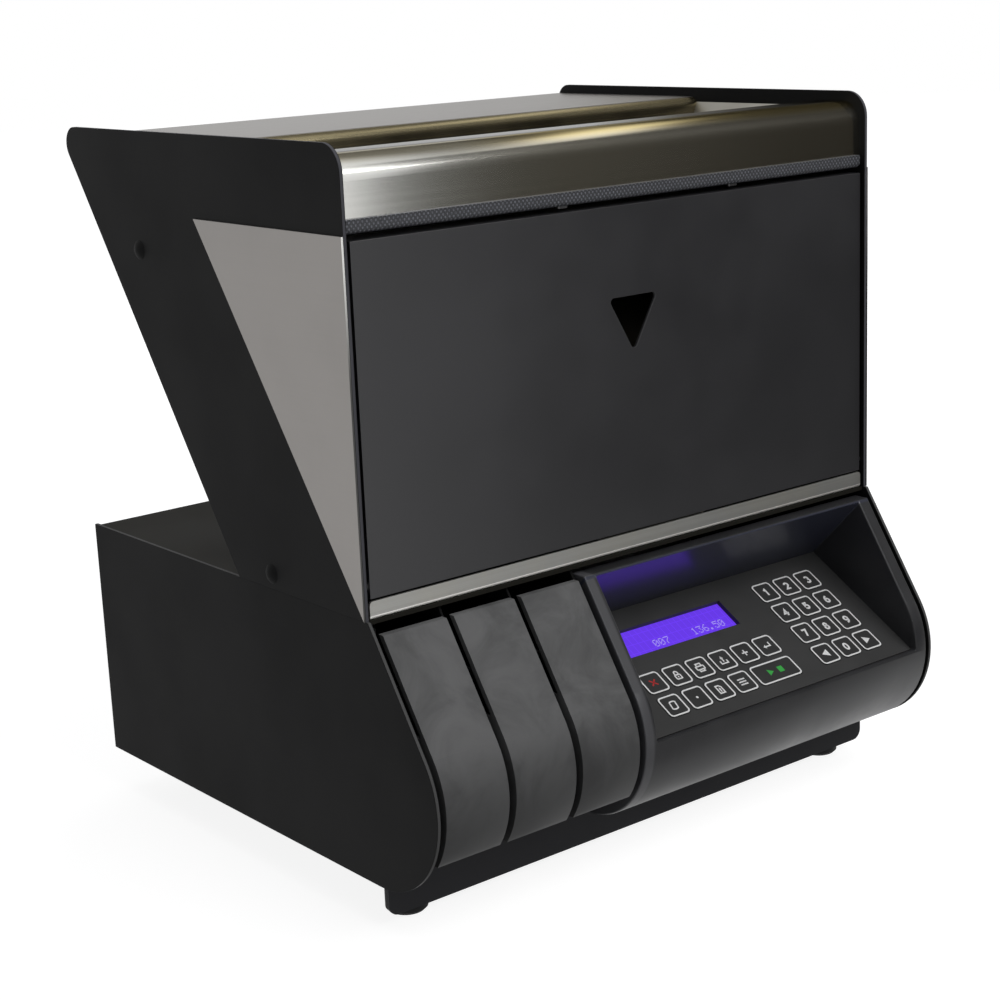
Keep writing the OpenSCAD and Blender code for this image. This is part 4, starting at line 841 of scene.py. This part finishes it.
class COINCOUNTER_OT_brush_steel(Operator):
    """Brushes the bare stainless steel of the hopper, trims and sill"""
    bl_idname = "coincounter.brush_steel"
    bl_label = "Brush Steel"

    def execute(self, context):
        tones = finish_of(context)
        low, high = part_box("side_trims")
        # The trims' front cut faces are a painted highlight, darkening downwards.
        wear(brushed("Trim steel", tones.dull_steel, scaled(tones.dull_steel, 0.86), (4.0, 5.0, 2600.0),
                     0.46, 0.08, 0.5, front=(tones.steel, low.y, high.z)), "side_trims")
        low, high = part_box("door_sill_strip")
        # A painted highlight along the sill's lower bend, and painted shade on the steel behind its front.
        hem = ((0.98, 0.97, 0.94), low.z + 2.1 * MM, low.y + 1.6 * MM)
        wear(brushed("Sill steel", scaled(tones.steel, 0.54), tones.straw, (5.0, 2400.0, 2400.0),
                     0.5, 0.3, 0.08, hem=hem), "door_sill_strip")
        wear(lip_steel("Lip steel", tones.steel, tones.straw), "hopper_lip")
        wear(sheet_steel("Top sheet steel", tones.dull_steel, tones.straw, tones.hopper_brown), "hopper_top_sheet")
        wear(brushed("Liner steel", (0.34, 0.33, 0.3), tones.hopper_brown, (2400.0, 6.0, 2400.0), 0.4),
             "hopper_liners")
        wear(brushed("Plated steel", tones.zinc, (0.4, 0.39, 0.35), (30.0, 30.0, 30.0), 0.36, 0.2, 0.4),
             "mechanism_deck", "coin_chute", "door_pivot_pins", "power_supply")
        return {"FINISHED"}


class COINCOUNTER_OT_mould_plastics(Operator):
    """Moulds the drawers, housing, keypad, keys, edge trim, feet and inlet"""
    bl_idname = "coincounter.mould_plastics"
    bl_label = "Mould Plastics"

    def execute(self, context):
        tones = finish_of(context)
        grey, film, rubber = tones.drawer_grey, tones.film, tones.rubber
        # The drawers are painted darker below, as painted shade on their lower noses.
        wear(moulded("Drawer plastic", grey, scaled(grey, 2.0), 0.5, 30.0, 0.8, 0.14,
                     lower_shade=(scaled(grey, 0.52), 40 * MM, 115 * MM)), *DRAWERS)
        wear(housing_plastic("Housing plastic", tones.housing_black), "control_housing")
        wear(moulded("Keypad film", film, scaled(film, 1.4), 0.5, 30.0, 0.35, 0.22, 3000.0), "keypad_plate")
        wear(moulded("Key film", scaled(film, 0.8), film, 0.5, 30.0, 0.35, 0.22, 3000.0), *ALL_KEYS)
        wear(knurled_rubber("Knurled edge trim", (0.042, 0.0435, 0.05)), "lip_edge_trim")
        wear(moulded("Black rubber", rubber, scaled(rubber, 2.0), 0.7, 60.0, 0.5, 0.25),
             "rubber_feet", "drive_belt")
        wear(moulded("Inlet plastic", (0.011, 0.011, 0.0115), (0.02, 0.02, 0.021), 0.42, 40.0),
             "power_inlet", "power_switch", "coin_sensor")
        wear(moulded("Board lacquer", (0.012, 0.06, 0.03), (0.02, 0.09, 0.04), 0.4, 60.0), "display_board")
        return {"FINISHED"}


class COINCOUNTER_OT_turn_mechanism(Operator):
    """Finishes the turned pieces of the coin mechanism"""
    bl_idname = "coincounter.turn_mechanism"
    bl_label = "Turn Mechanism"

    def execute(self, context):
        tones = finish_of(context)
        disc, motor = JOINTS["disc_spin"]["pos_m"], JOINTS["motor_spin"]["pos_m"]
        wear(turned_alloy("Turned disc alloy", tones.alloy, disc), "feed_disc", "disc_pan", "disc_spindle")
        wear(turned_alloy("Turned pulley alloy", tones.alloy, motor), "motor_pulley")
        wear(turned_alloy("Turned bronze", tones.bronze, disc), "disc_bearing")
        return {"FINISHED"}


class COINCOUNTER_OT_soften_edges(Operator):
    """Rounds the edges of the sheet metal, drawers and housing"""
    bl_idname = "coincounter.soften_edges"
    bl_label = "Soften Edges"

    def execute(self, context):
        sizes = sizes_of(context)
        soften(sizes.edge_bevel, "left_side_panel", "right_side_panel", "left_hopper_plate",
               "right_hopper_plate", "front_door", "bottom_pan")
        soften(sizes.mould_bevel, "control_housing", *DRAWERS)
        return {"FINISHED"}


class COINCOUNTER_OT_print_keys(Operator):
    """Prints an outline and a sign on each key"""
    bl_idname = "coincounter.print_keys"
    bl_label = "Print Keys"

    def execute(self, context):
        tones, sizes = finish_of(context), sizes_of(context)
        white = print_ink("White ink", tones.sign_white)
        inks = {"key_clear": print_ink("Red ink", tones.sign_red),
                "key_start": print_ink("Green ink", tones.sign_green)}
        slots = {"key_clear": "key_red", "key_start": "key_green"}
        slope, digits, signs = Slope(), digit_paths(), sign_paths()
        for key in ALL_KEYS:
            middle, half, top = slope.face(key)
            rim = round_box(2 * half - 2 * sizes.outline_in, OUTLINE_R, 5)
            outline = [band(rim, sizes.outline_w, sizes.print_t, True)]
            if key in NUMBER_KEYS:
                size, width = sizes.sign_h, sizes.stroke_w
                bands, pads = digits[int(key[-1])], []
            else:
                size, width = sizes.sign_h * (ARROW_SIZE if key in ARROW_KEYS else SIGN_SIZE), sizes.fine_w
                bands, pads = signs[key]
            sign = [band(np.asarray(path) * size, width, sizes.print_t, closed) for path, closed in bands]
            sign += [pad(np.asarray(figure) * size, sizes.print_t) for figure in pads]
            for kind, shells, ink in (("outline", outline, white), ("sign", sign, inks.get(key, white))):
                points, faces = gather(shells)
                make_piece(f"{key}_{kind}", slope.set_in(points, middle, top), faces, ink, key + "_cap",
                           slots.get(key, "key_film"))
        return {"FINISHED"}


class COINCOUNTER_OT_light_display(Operator):
    """Lights the display: its ground behind the window and the dots of its lower row"""
    bl_idname = "coincounter.light_display"
    bl_label = "Light Display"

    def execute(self, context):
        tones, sizes = finish_of(context), sizes_of(context)
        slope = Slope()
        middle, half, top = slope.face("display_board")
        points, faces = pad(round_box(2 * (half - GROUND_IN), GROUND_R, 3), GROUND_T)
        mesh = make_piece("display_ground", slope.set_in(points, middle, top), faces,
                          lit_ground("Display ground", tones.display_blue, sizes.cell_pitch),
                          "frame", "display").data
        corners = np.empty(len(mesh.loops), int)
        mesh.loops.foreach_get("vertex_index", corners)
        mesh.uv_layers.new(name="Face").data.foreach_set("uv", points[corners, :2].ravel())
        points, faces = self.write(sizes)
        make_piece("display_digits", slope.set_in(points, middle, top + GROUND_T), faces,
                   lit_dots("Display dots", tones.display_dot), "frame", "display")
        return {"FINISHED"}

    @staticmethod
    def write(sizes):
        """Each lit dot is a small square slab on the lower row's grid of characters, dots and rows."""
        centres = []
        for place, sign in SHOWN:
            rows, columns = np.nonzero([[int(dot) for dot in row] for row in DOT_ROWS[sign].split()])
            x = (place - MIDDLE_PLACE) * sizes.cell_pitch + (columns - 2) * sizes.dot_pitch
            y = LOWER_ROW - rows * sizes.dot_pitch * ROW_STRETCH
            centres.append(np.stack([x, y], 1))
        centres = np.concatenate(centres)
        half = sizes.dot_w / 2
        corner = np.array([(i, j, k) for k in (0, 1) for i, j in ((-1, -1), (1, -1), (1, 1), (-1, 1))], float)
        points = np.zeros((len(centres), 8, 3))
        points[:, :, :2] = centres[:, None]
        points += corner * (half, half, sizes.print_t)
        faces = np.array([(3, 2, 1, 0), (4, 5, 6, 7), (0, 1, 5, 4), (1, 2, 6, 5), (2, 3, 7, 6), (3, 0, 4, 7)])
        faces = (np.arange(len(centres))[:, None, None] * 8 + faces).reshape(-1, 4).tolist()
        return points.reshape(-1, 3), faces


class COINCOUNTER_OT_fit_catches(Operator):
    """Fits the two spring catches in the gap over the door"""
    bl_idname = "coincounter.fit_catches"
    bl_label = "Fit Catches"

    def execute(self, context):
        steel = brushed("Catch steel", (0.09, 0.09, 0.092), (0.05, 0.05, 0.05), (900.0, 9.0, 900.0), 0.5)
        low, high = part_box("lip_edge_trim")
        points, faces = pad(round_box((sizes_of(context).catch_w, CATCH_D), CATCH_R), CATCH_H, CATCH_CROWN)
        for name, x in CATCHES:
            placed = points * (1, 1, -1) + np.array([x, (low.y + high.y) / 2, low.z + CATCH_SUNK])
            make_piece(name, placed, outward(placed, faces), steel, "frame", "steel")
        return {"FINISHED"}


class COINCOUNTER_OT_fit_inlet(Operator):
    """Fits the socket's pins, the inlet's screws and the rocker's marks"""
    bl_idname = "coincounter.fit_inlet"
    bl_label = "Fit Inlet"

    def execute(self, context):
        tones, sizes = finish_of(context), sizes_of(context)
        steel = brushed("Pin steel", (0.62, 0.61, 0.58), (0.5, 0.48, 0.42), (900.0, 9.0, 900.0), 0.25)
        low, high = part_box("power_inlet")
        middle = (low.z + high.z) / 2
        pin = pad(round_box((sizes.pin_t, sizes.pin_w), PIN_R), PIN_LENGTH, PIN_CROWN)
        shells = [self.turned(pin, SOCKET_X + x, high.y - SOCKET_DEPTH, middle + z) for x, z in PINS]
        make_piece("socket_pins", *gather(shells), steel, "frame", "steel")
        head = pad(ring(0, 0, INLET_SCREW_R, INLET_SCREW_R, 20), INLET_SCREW_H, INLET_SCREW_CROWN)
        shells = [self.turned(head, x, high.y, middle)
                  for x in (low.x + INLET_SCREW_IN, high.x - INLET_SCREW_IN)]
        make_piece("inlet_screws", *gather(shells), steel, "frame", "steel")
        make_piece("rocker_marks", *gather(self.marks(sizes)), print_ink("Rocker ink", tones.sign_white),
                   "switch_rocker", "inlet_plastic")
        return {"FINISHED"}

    @staticmethod
    def turned(shell, x, y, z):
        """A shell whose height points to the rear, at a place."""
        points, faces = shell
        placed = points[:, [0, 2, 1]] + np.array([x, y, z])
        return placed, outward(placed, faces)

    @staticmethod
    def marks(sizes):
        """A bar and a ring, laid on the rocker's two faces: each face runs from the rocker's middle
        groove to an end corner, and a sign keeps its own flat shape along that face."""
        points = points_of("power_switch")
        x = (points[:, 0].min() + points[:, 0].max()) / 2
        flat = np.unique(points[:, 1:].round(7), axis=0).tolist()
        pivot = np.array(JOINTS["switch_tip"]["pos_m"][1:])
        groove = pivot + np.array([math.cos(ROCKER_TIP), math.sin(ROCKER_TIP)]) * GROOVE_REACH
        loop = band(ring(0, 0, MARK_SIZE, MARK_SIZE), sizes.fine_w, sizes.print_t, True)
        bar = band([(-BAR_HALF, 0), (BAR_HALF, 0)], sizes.fine_w, sizes.print_t)
        for end, (sign, faces) in ((1, loop), (-1, bar)):
            corner = max(flat, key=lambda place: place[0] + end * place[1] * 3)  # furthest out at that end
            run = np.array(corner) - groove
            along = run / np.linalg.norm(run)
            out = np.array([abs(along[1]), -along[0] * np.sign(along[1])])
            placed = np.empty_like(sign)
            placed[:, 0] = x + sign[:, 1]
            placed[:, 1:] = groove + run * MARK_PLACE + sign[:, :1] * along + sign[:, 2:] * out
            yield placed, outward(placed, faces)


class COINCOUNTER_OT_sink_screws(Operator):
    """Lays a dark hexagon just inside each button head, as the painted shade of its socket"""
    bl_idname = "coincounter.sink_screws"
    bl_label = "Sink Screws"

    def execute(self, context):
        # painted shade: a dark hexagon stands for the shade in each socket
        dark = paint("Socket shade", scaled(finish_of(context).black_paint, 0.3), 0.2, 0.7, 0.1)
        points = points_of("plate_screws")
        reach = np.abs(points[:, 0]).max()
        crowns = points[np.abs(points[:, 0]) > reach - NEAR]
        flat, faces = pad(arc(0, 0, SCREW_SOCKET_R, SCREW_SOCKET_R, 0, 300, 6), SCREW_SOCKET_T)
        depth = flat[:, 2] + reach - SCREW_SOCKET_IN
        shells = []
        for side in (-1.0, 1.0):
            for y, z in np.unique(crowns[np.sign(crowns[:, 0]) == side][:, 1:].round(4), axis=0):
                placed = np.stack([side * depth, flat[:, 0] + y, flat[:, 1] + z], 1)
                shells.append((placed, outward(placed, faces)))
        make_piece("screw_sockets", *gather(shells), dark, "frame", "black_steel")
        return {"FINISHED"}


class Flag(Surface):
    """A sheet of the stage: one flat face, which shows its tone to glossy rays alone."""

    def stand(self, points, tone):
        self.show(self.put("ShaderNodeEmission", {"Color": tone, "Strength": 1.0}))
        flag = new_object(self.material.name, points, [list(range(len(points)))], self.material)
        flag.visible_camera = flag.visible_diffuse = flag.visible_shadow = flag.visible_transmission = False


class COINCOUNTER_OT_set_stage(Operator):
    """Sets the floor, room light, flags, lamps and camera"""
    bl_idname = "coincounter.set_stage"
    bl_label = "Set Stage"

    def execute(self, context):
        scene, stage = context.scene, context.scene.coin_counter_stage
        scene.view_settings.view_transform = "Standard"
        self.lay_floor()
        self.fill_room(scene, stage.air)
        self.stand_flags()
        self.hang_ceiling()
        for name, place, size, power, mirrored in LAMPS:
            self.hang_lamp(scene, name, Vector(place), size, getattr(stage, power), mirrored)
        self.place_camera(scene, stage)
        return {"FINISHED"}

    @staticmethod
    def lay_floor():
        """A round floor: rings of points at growing radius, flat at the height of the feet."""
        radius = np.linspace(0.0, FLOOR_R, FLOOR_RINGS + 1)[1:]
        turn = np.radians(np.arange(0, 360, FLOOR_TURN))
        grid = np.stack([np.outer(radius, np.cos(turn)), np.outer(radius, np.sin(turn)),
                         np.zeros((len(radius), len(turn)))], -1).reshape(-1, 3)
        count = len(turn)
        i = np.arange(len(radius) - 1)[:, None] * count
        j = np.arange(count)[None, :]
        ahead = (j + 1) % count
        faces = np.stack([i + j, i + count + j, i + count + ahead, i + ahead], -1).reshape(-1, 4).tolist()
        faces += np.stack([np.full(count, len(grid)), j[0], ahead[0]], 1).tolist()
        s = Surface("Pale floor")
        pale = s.mix(s.noise(s.where, 3.0), (0.3, 0.3, 0.3), (0.33, 0.33, 0.33))
        matt = s.put("ShaderNodeBsdfDiffuse", {"Color": pale}).outputs[0]
        far = s.ramp(s.vector("LENGTH", s.where), 0.4, 1.6)
        glow = s.put("ShaderNodeEmission", {"Color": WHITE, "Strength": s.spread(far, 0.88, 1.0)}).outputs[0]
        both = s.put("ShaderNodeAddShader", {0: matt, 1: glow}).outputs[0]
        s.show(s.put("ShaderNodeMixShader", {0: s.seen(), 1: matt, 2: both}))
        new_object("floor", np.concatenate([grid, np.zeros((1, 3))]), faces, s.material)

    @staticmethod
    def fill_room(scene, strength):
        """Even light all round: white where it is seen or mirrored, and dimmer where it lights."""
        scene.world = bpy.data.worlds.new("Room")
        nodes = Nodes(cleared(scene.world))
        even = nodes.put("ShaderNodeBackground", {"Color": COOL_WHITE, "Strength": strength}).outputs[0]
        white = nodes.put("ShaderNodeBackground", {"Color": WHITE, "Strength": 1.0}).outputs[0]
        shown = nodes.put("ShaderNodeMixShader", {0: nodes.seen(), 1: even, 2: white}).outputs[0]
        nodes.put("ShaderNodeOutputWorld", {"Surface": shown})

    @staticmethod
    def stand_flags():
        """Dark flags on the right, in front and behind, which darken to the right, and a mat in front."""
        flag = Flag("front_flag")
        x = flag.at["X"]
        tone = flag.mix(flag.ramp(x, 0.17, 0.27), (0.15, 0.15, 0.14), (0.055, 0.053, 0.047))
        tone = flag.mix(flag.ramp(x, 0.3, 0.46), tone, (0.024, 0.022, 0.018))
        across, up = np.array(FRONT_FLAG).T
        flag.stand(np.stack([across, FRONT_FLAG_Y + (across - FRONT_FLAG_X) * FRONT_FLAG_TURN, up], 1), tone)

        flag = Flag("rear_flag")
        at = flag.at
        tone = flag.mix(flag.ramp(at["X"], 0.59, 0.71), (0.8, 0.79, 0.76), (0.24, 0.23, 0.21))
        tone = flag.mix(flag.ramp(at["X"], 0.71, 0.9), tone, (0.08, 0.078, 0.07))
        off = flag.math("ABSOLUTE", flag.less(at["X"], 0.67))
        tail = flag.math("SUBTRACT", flag.ramp(at["Z"], 0.48, 0.6), flag.ramp(off, 0.02, 0.1), clamp=True)
        flag.stand(REAR_FLAG, flag.mix(tail, tone, (0.6, 0.58, 0.53)))

        mat = Flag("mat")
        mat.stand(MAT, mat.mix(mat.ramp(mat.at["X"], -0.05, 0.6), (0.55, 0.55, 0.54), (0.32, 0.32, 0.31)))

    @staticmethod
    def hang_ceiling():
        """A ceiling that darkens to the right, with a bright strip that leans to the right at the rear and
        fades at both ends."""
        flag = Flag("ceiling")
        at = flag.at
        lean = flag.times(flag.math("MAXIMUM", flag.plus(at["Y"], 0.05), 0.0), 0.38)
        off = flag.math("ABSOLUTE", flag.less(flag.less(at["X"], lean), 0.46))
        strip = flag.less(1.0, flag.ramp(off, 0.02, 0.1))
        strip = flag.times(strip, flag.spread(flag.ramp(at["Y"], -0.48, -0.08), 0.12, 1.0))
        strip = flag.times(strip, flag.spread(flag.ramp(at["Y"], 0.0, 0.45), 1.0, 0.3))
        left = flag.ramp(flag.plus(at["X"], flag.times(at["Y"], 0.4)), 0.05, 0.26)
        tone = flag.mix(left, (0.95, 0.95, 0.93), (0.2, 0.195, 0.18))
        tone = flag.mix(flag.ramp(at["X"], 0.35, 0.62), tone, (0.042, 0.04, 0.034))
        flag.stand(CEILING, flag.mix(strip, tone, (1.6, 1.56, 1.45)))

    @staticmethod
    def hang_lamp(scene, name, place, size, power, mirrored):
        light = bpy.data.lights.new(name, "AREA")
        light.shape = "RECTANGLE"
        light.size, light.size_y = size
        light.energy = power
        lamp = bpy.data.objects.new(name, light)
        lamp.location = place
        lamp.rotation_mode = "QUATERNION"
        lamp.rotation_quaternion = (LAMP_TARGET - place).to_track_quat("-Z", "Y")
        lamp.visible_glossy = mirrored
        scene.collection.objects.link(lamp)

    @staticmethod
    def place_camera(scene, stage):
        a, e = stage.azimuth, stage.elevation
        ahead = Vector((math.sin(a) * math.cos(e), math.cos(a) * math.cos(e), -math.sin(e)))
        lens = bpy.data.cameras.new("Camera")
        lens.lens = stage.lens
        lens.sensor_width = SENSOR_W
        camera = bpy.data.objects.new("Camera", lens)
        camera.location = stage.place
        camera.rotation_mode = "QUATERNION"
        camera.rotation_quaternion = ahead.to_track_quat("-Z", "Y") @ Quaternion((0.0, 0.0, 1.0), stage.roll)
        scene.collection.objects.link(camera)
        scene.camera = camera


class COINCOUNTER_PT_sidebar(Panel):
    """Lists the steps that dress the machine"""
    bl_idname = "COINCOUNTER_PT_sidebar"
    bl_label = "Coin Counting Machine"
    bl_space_type = "VIEW_3D"
    bl_region_type = "UI"
    bl_category = "Coin Counter"

    def draw(self, context):
        for operator in OPERATORS:
            self.layout.operator(operator.bl_idname)
        for group in (finish_of(context), sizes_of(context), context.scene.coin_counter_stage):
            box = self.layout.box()
            for name in group.__annotations__:
                box.prop(group, name)


OPERATORS = (COINCOUNTER_OT_paint_sheet_metal, COINCOUNTER_OT_brush_steel, COINCOUNTER_OT_mould_plastics,
             COINCOUNTER_OT_turn_mechanism, COINCOUNTER_OT_soften_edges, COINCOUNTER_OT_print_keys,
             COINCOUNTER_OT_light_display, COINCOUNTER_OT_fit_catches, COINCOUNTER_OT_fit_inlet,
             COINCOUNTER_OT_sink_screws, COINCOUNTER_OT_set_stage)
CLASSES = (CoinCounterFinish, CoinCounterSizes, CoinCounterStage) + OPERATORS + (COINCOUNTER_PT_sidebar,)


def register():
    for cls in CLASSES:
        bpy.utils.register_class(cls)
    bpy.types.Scene.coin_counter_finish = PointerProperty(type=CoinCounterFinish)
    bpy.types.Scene.coin_counter_sizes = PointerProperty(type=CoinCounterSizes)
    bpy.types.Scene.coin_counter_stage = PointerProperty(type=CoinCounterStage)


def unregister():
    del bpy.types.Scene.coin_counter_stage
    del bpy.types.Scene.coin_counter_sizes
    del bpy.types.Scene.coin_counter_finish
    for cls in reversed(CLASSES):
        bpy.utils.unregister_class(cls)


def main():
    """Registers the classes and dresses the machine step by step."""
    register()
    bpy.ops.coincounter.paint_sheet_metal()
    bpy.ops.coincounter.brush_steel()
    bpy.ops.coincounter.mould_plastics()
    bpy.ops.coincounter.turn_mechanism()
    bpy.ops.coincounter.soften_edges()
    bpy.ops.coincounter.print_keys()
    bpy.ops.coincounter.light_display()
    bpy.ops.coincounter.fit_catches()
    bpy.ops.coincounter.fit_inlet()
    bpy.ops.coincounter.sink_screws()
    bpy.ops.coincounter.set_stage()


if __name__ == "__main__":
    main()
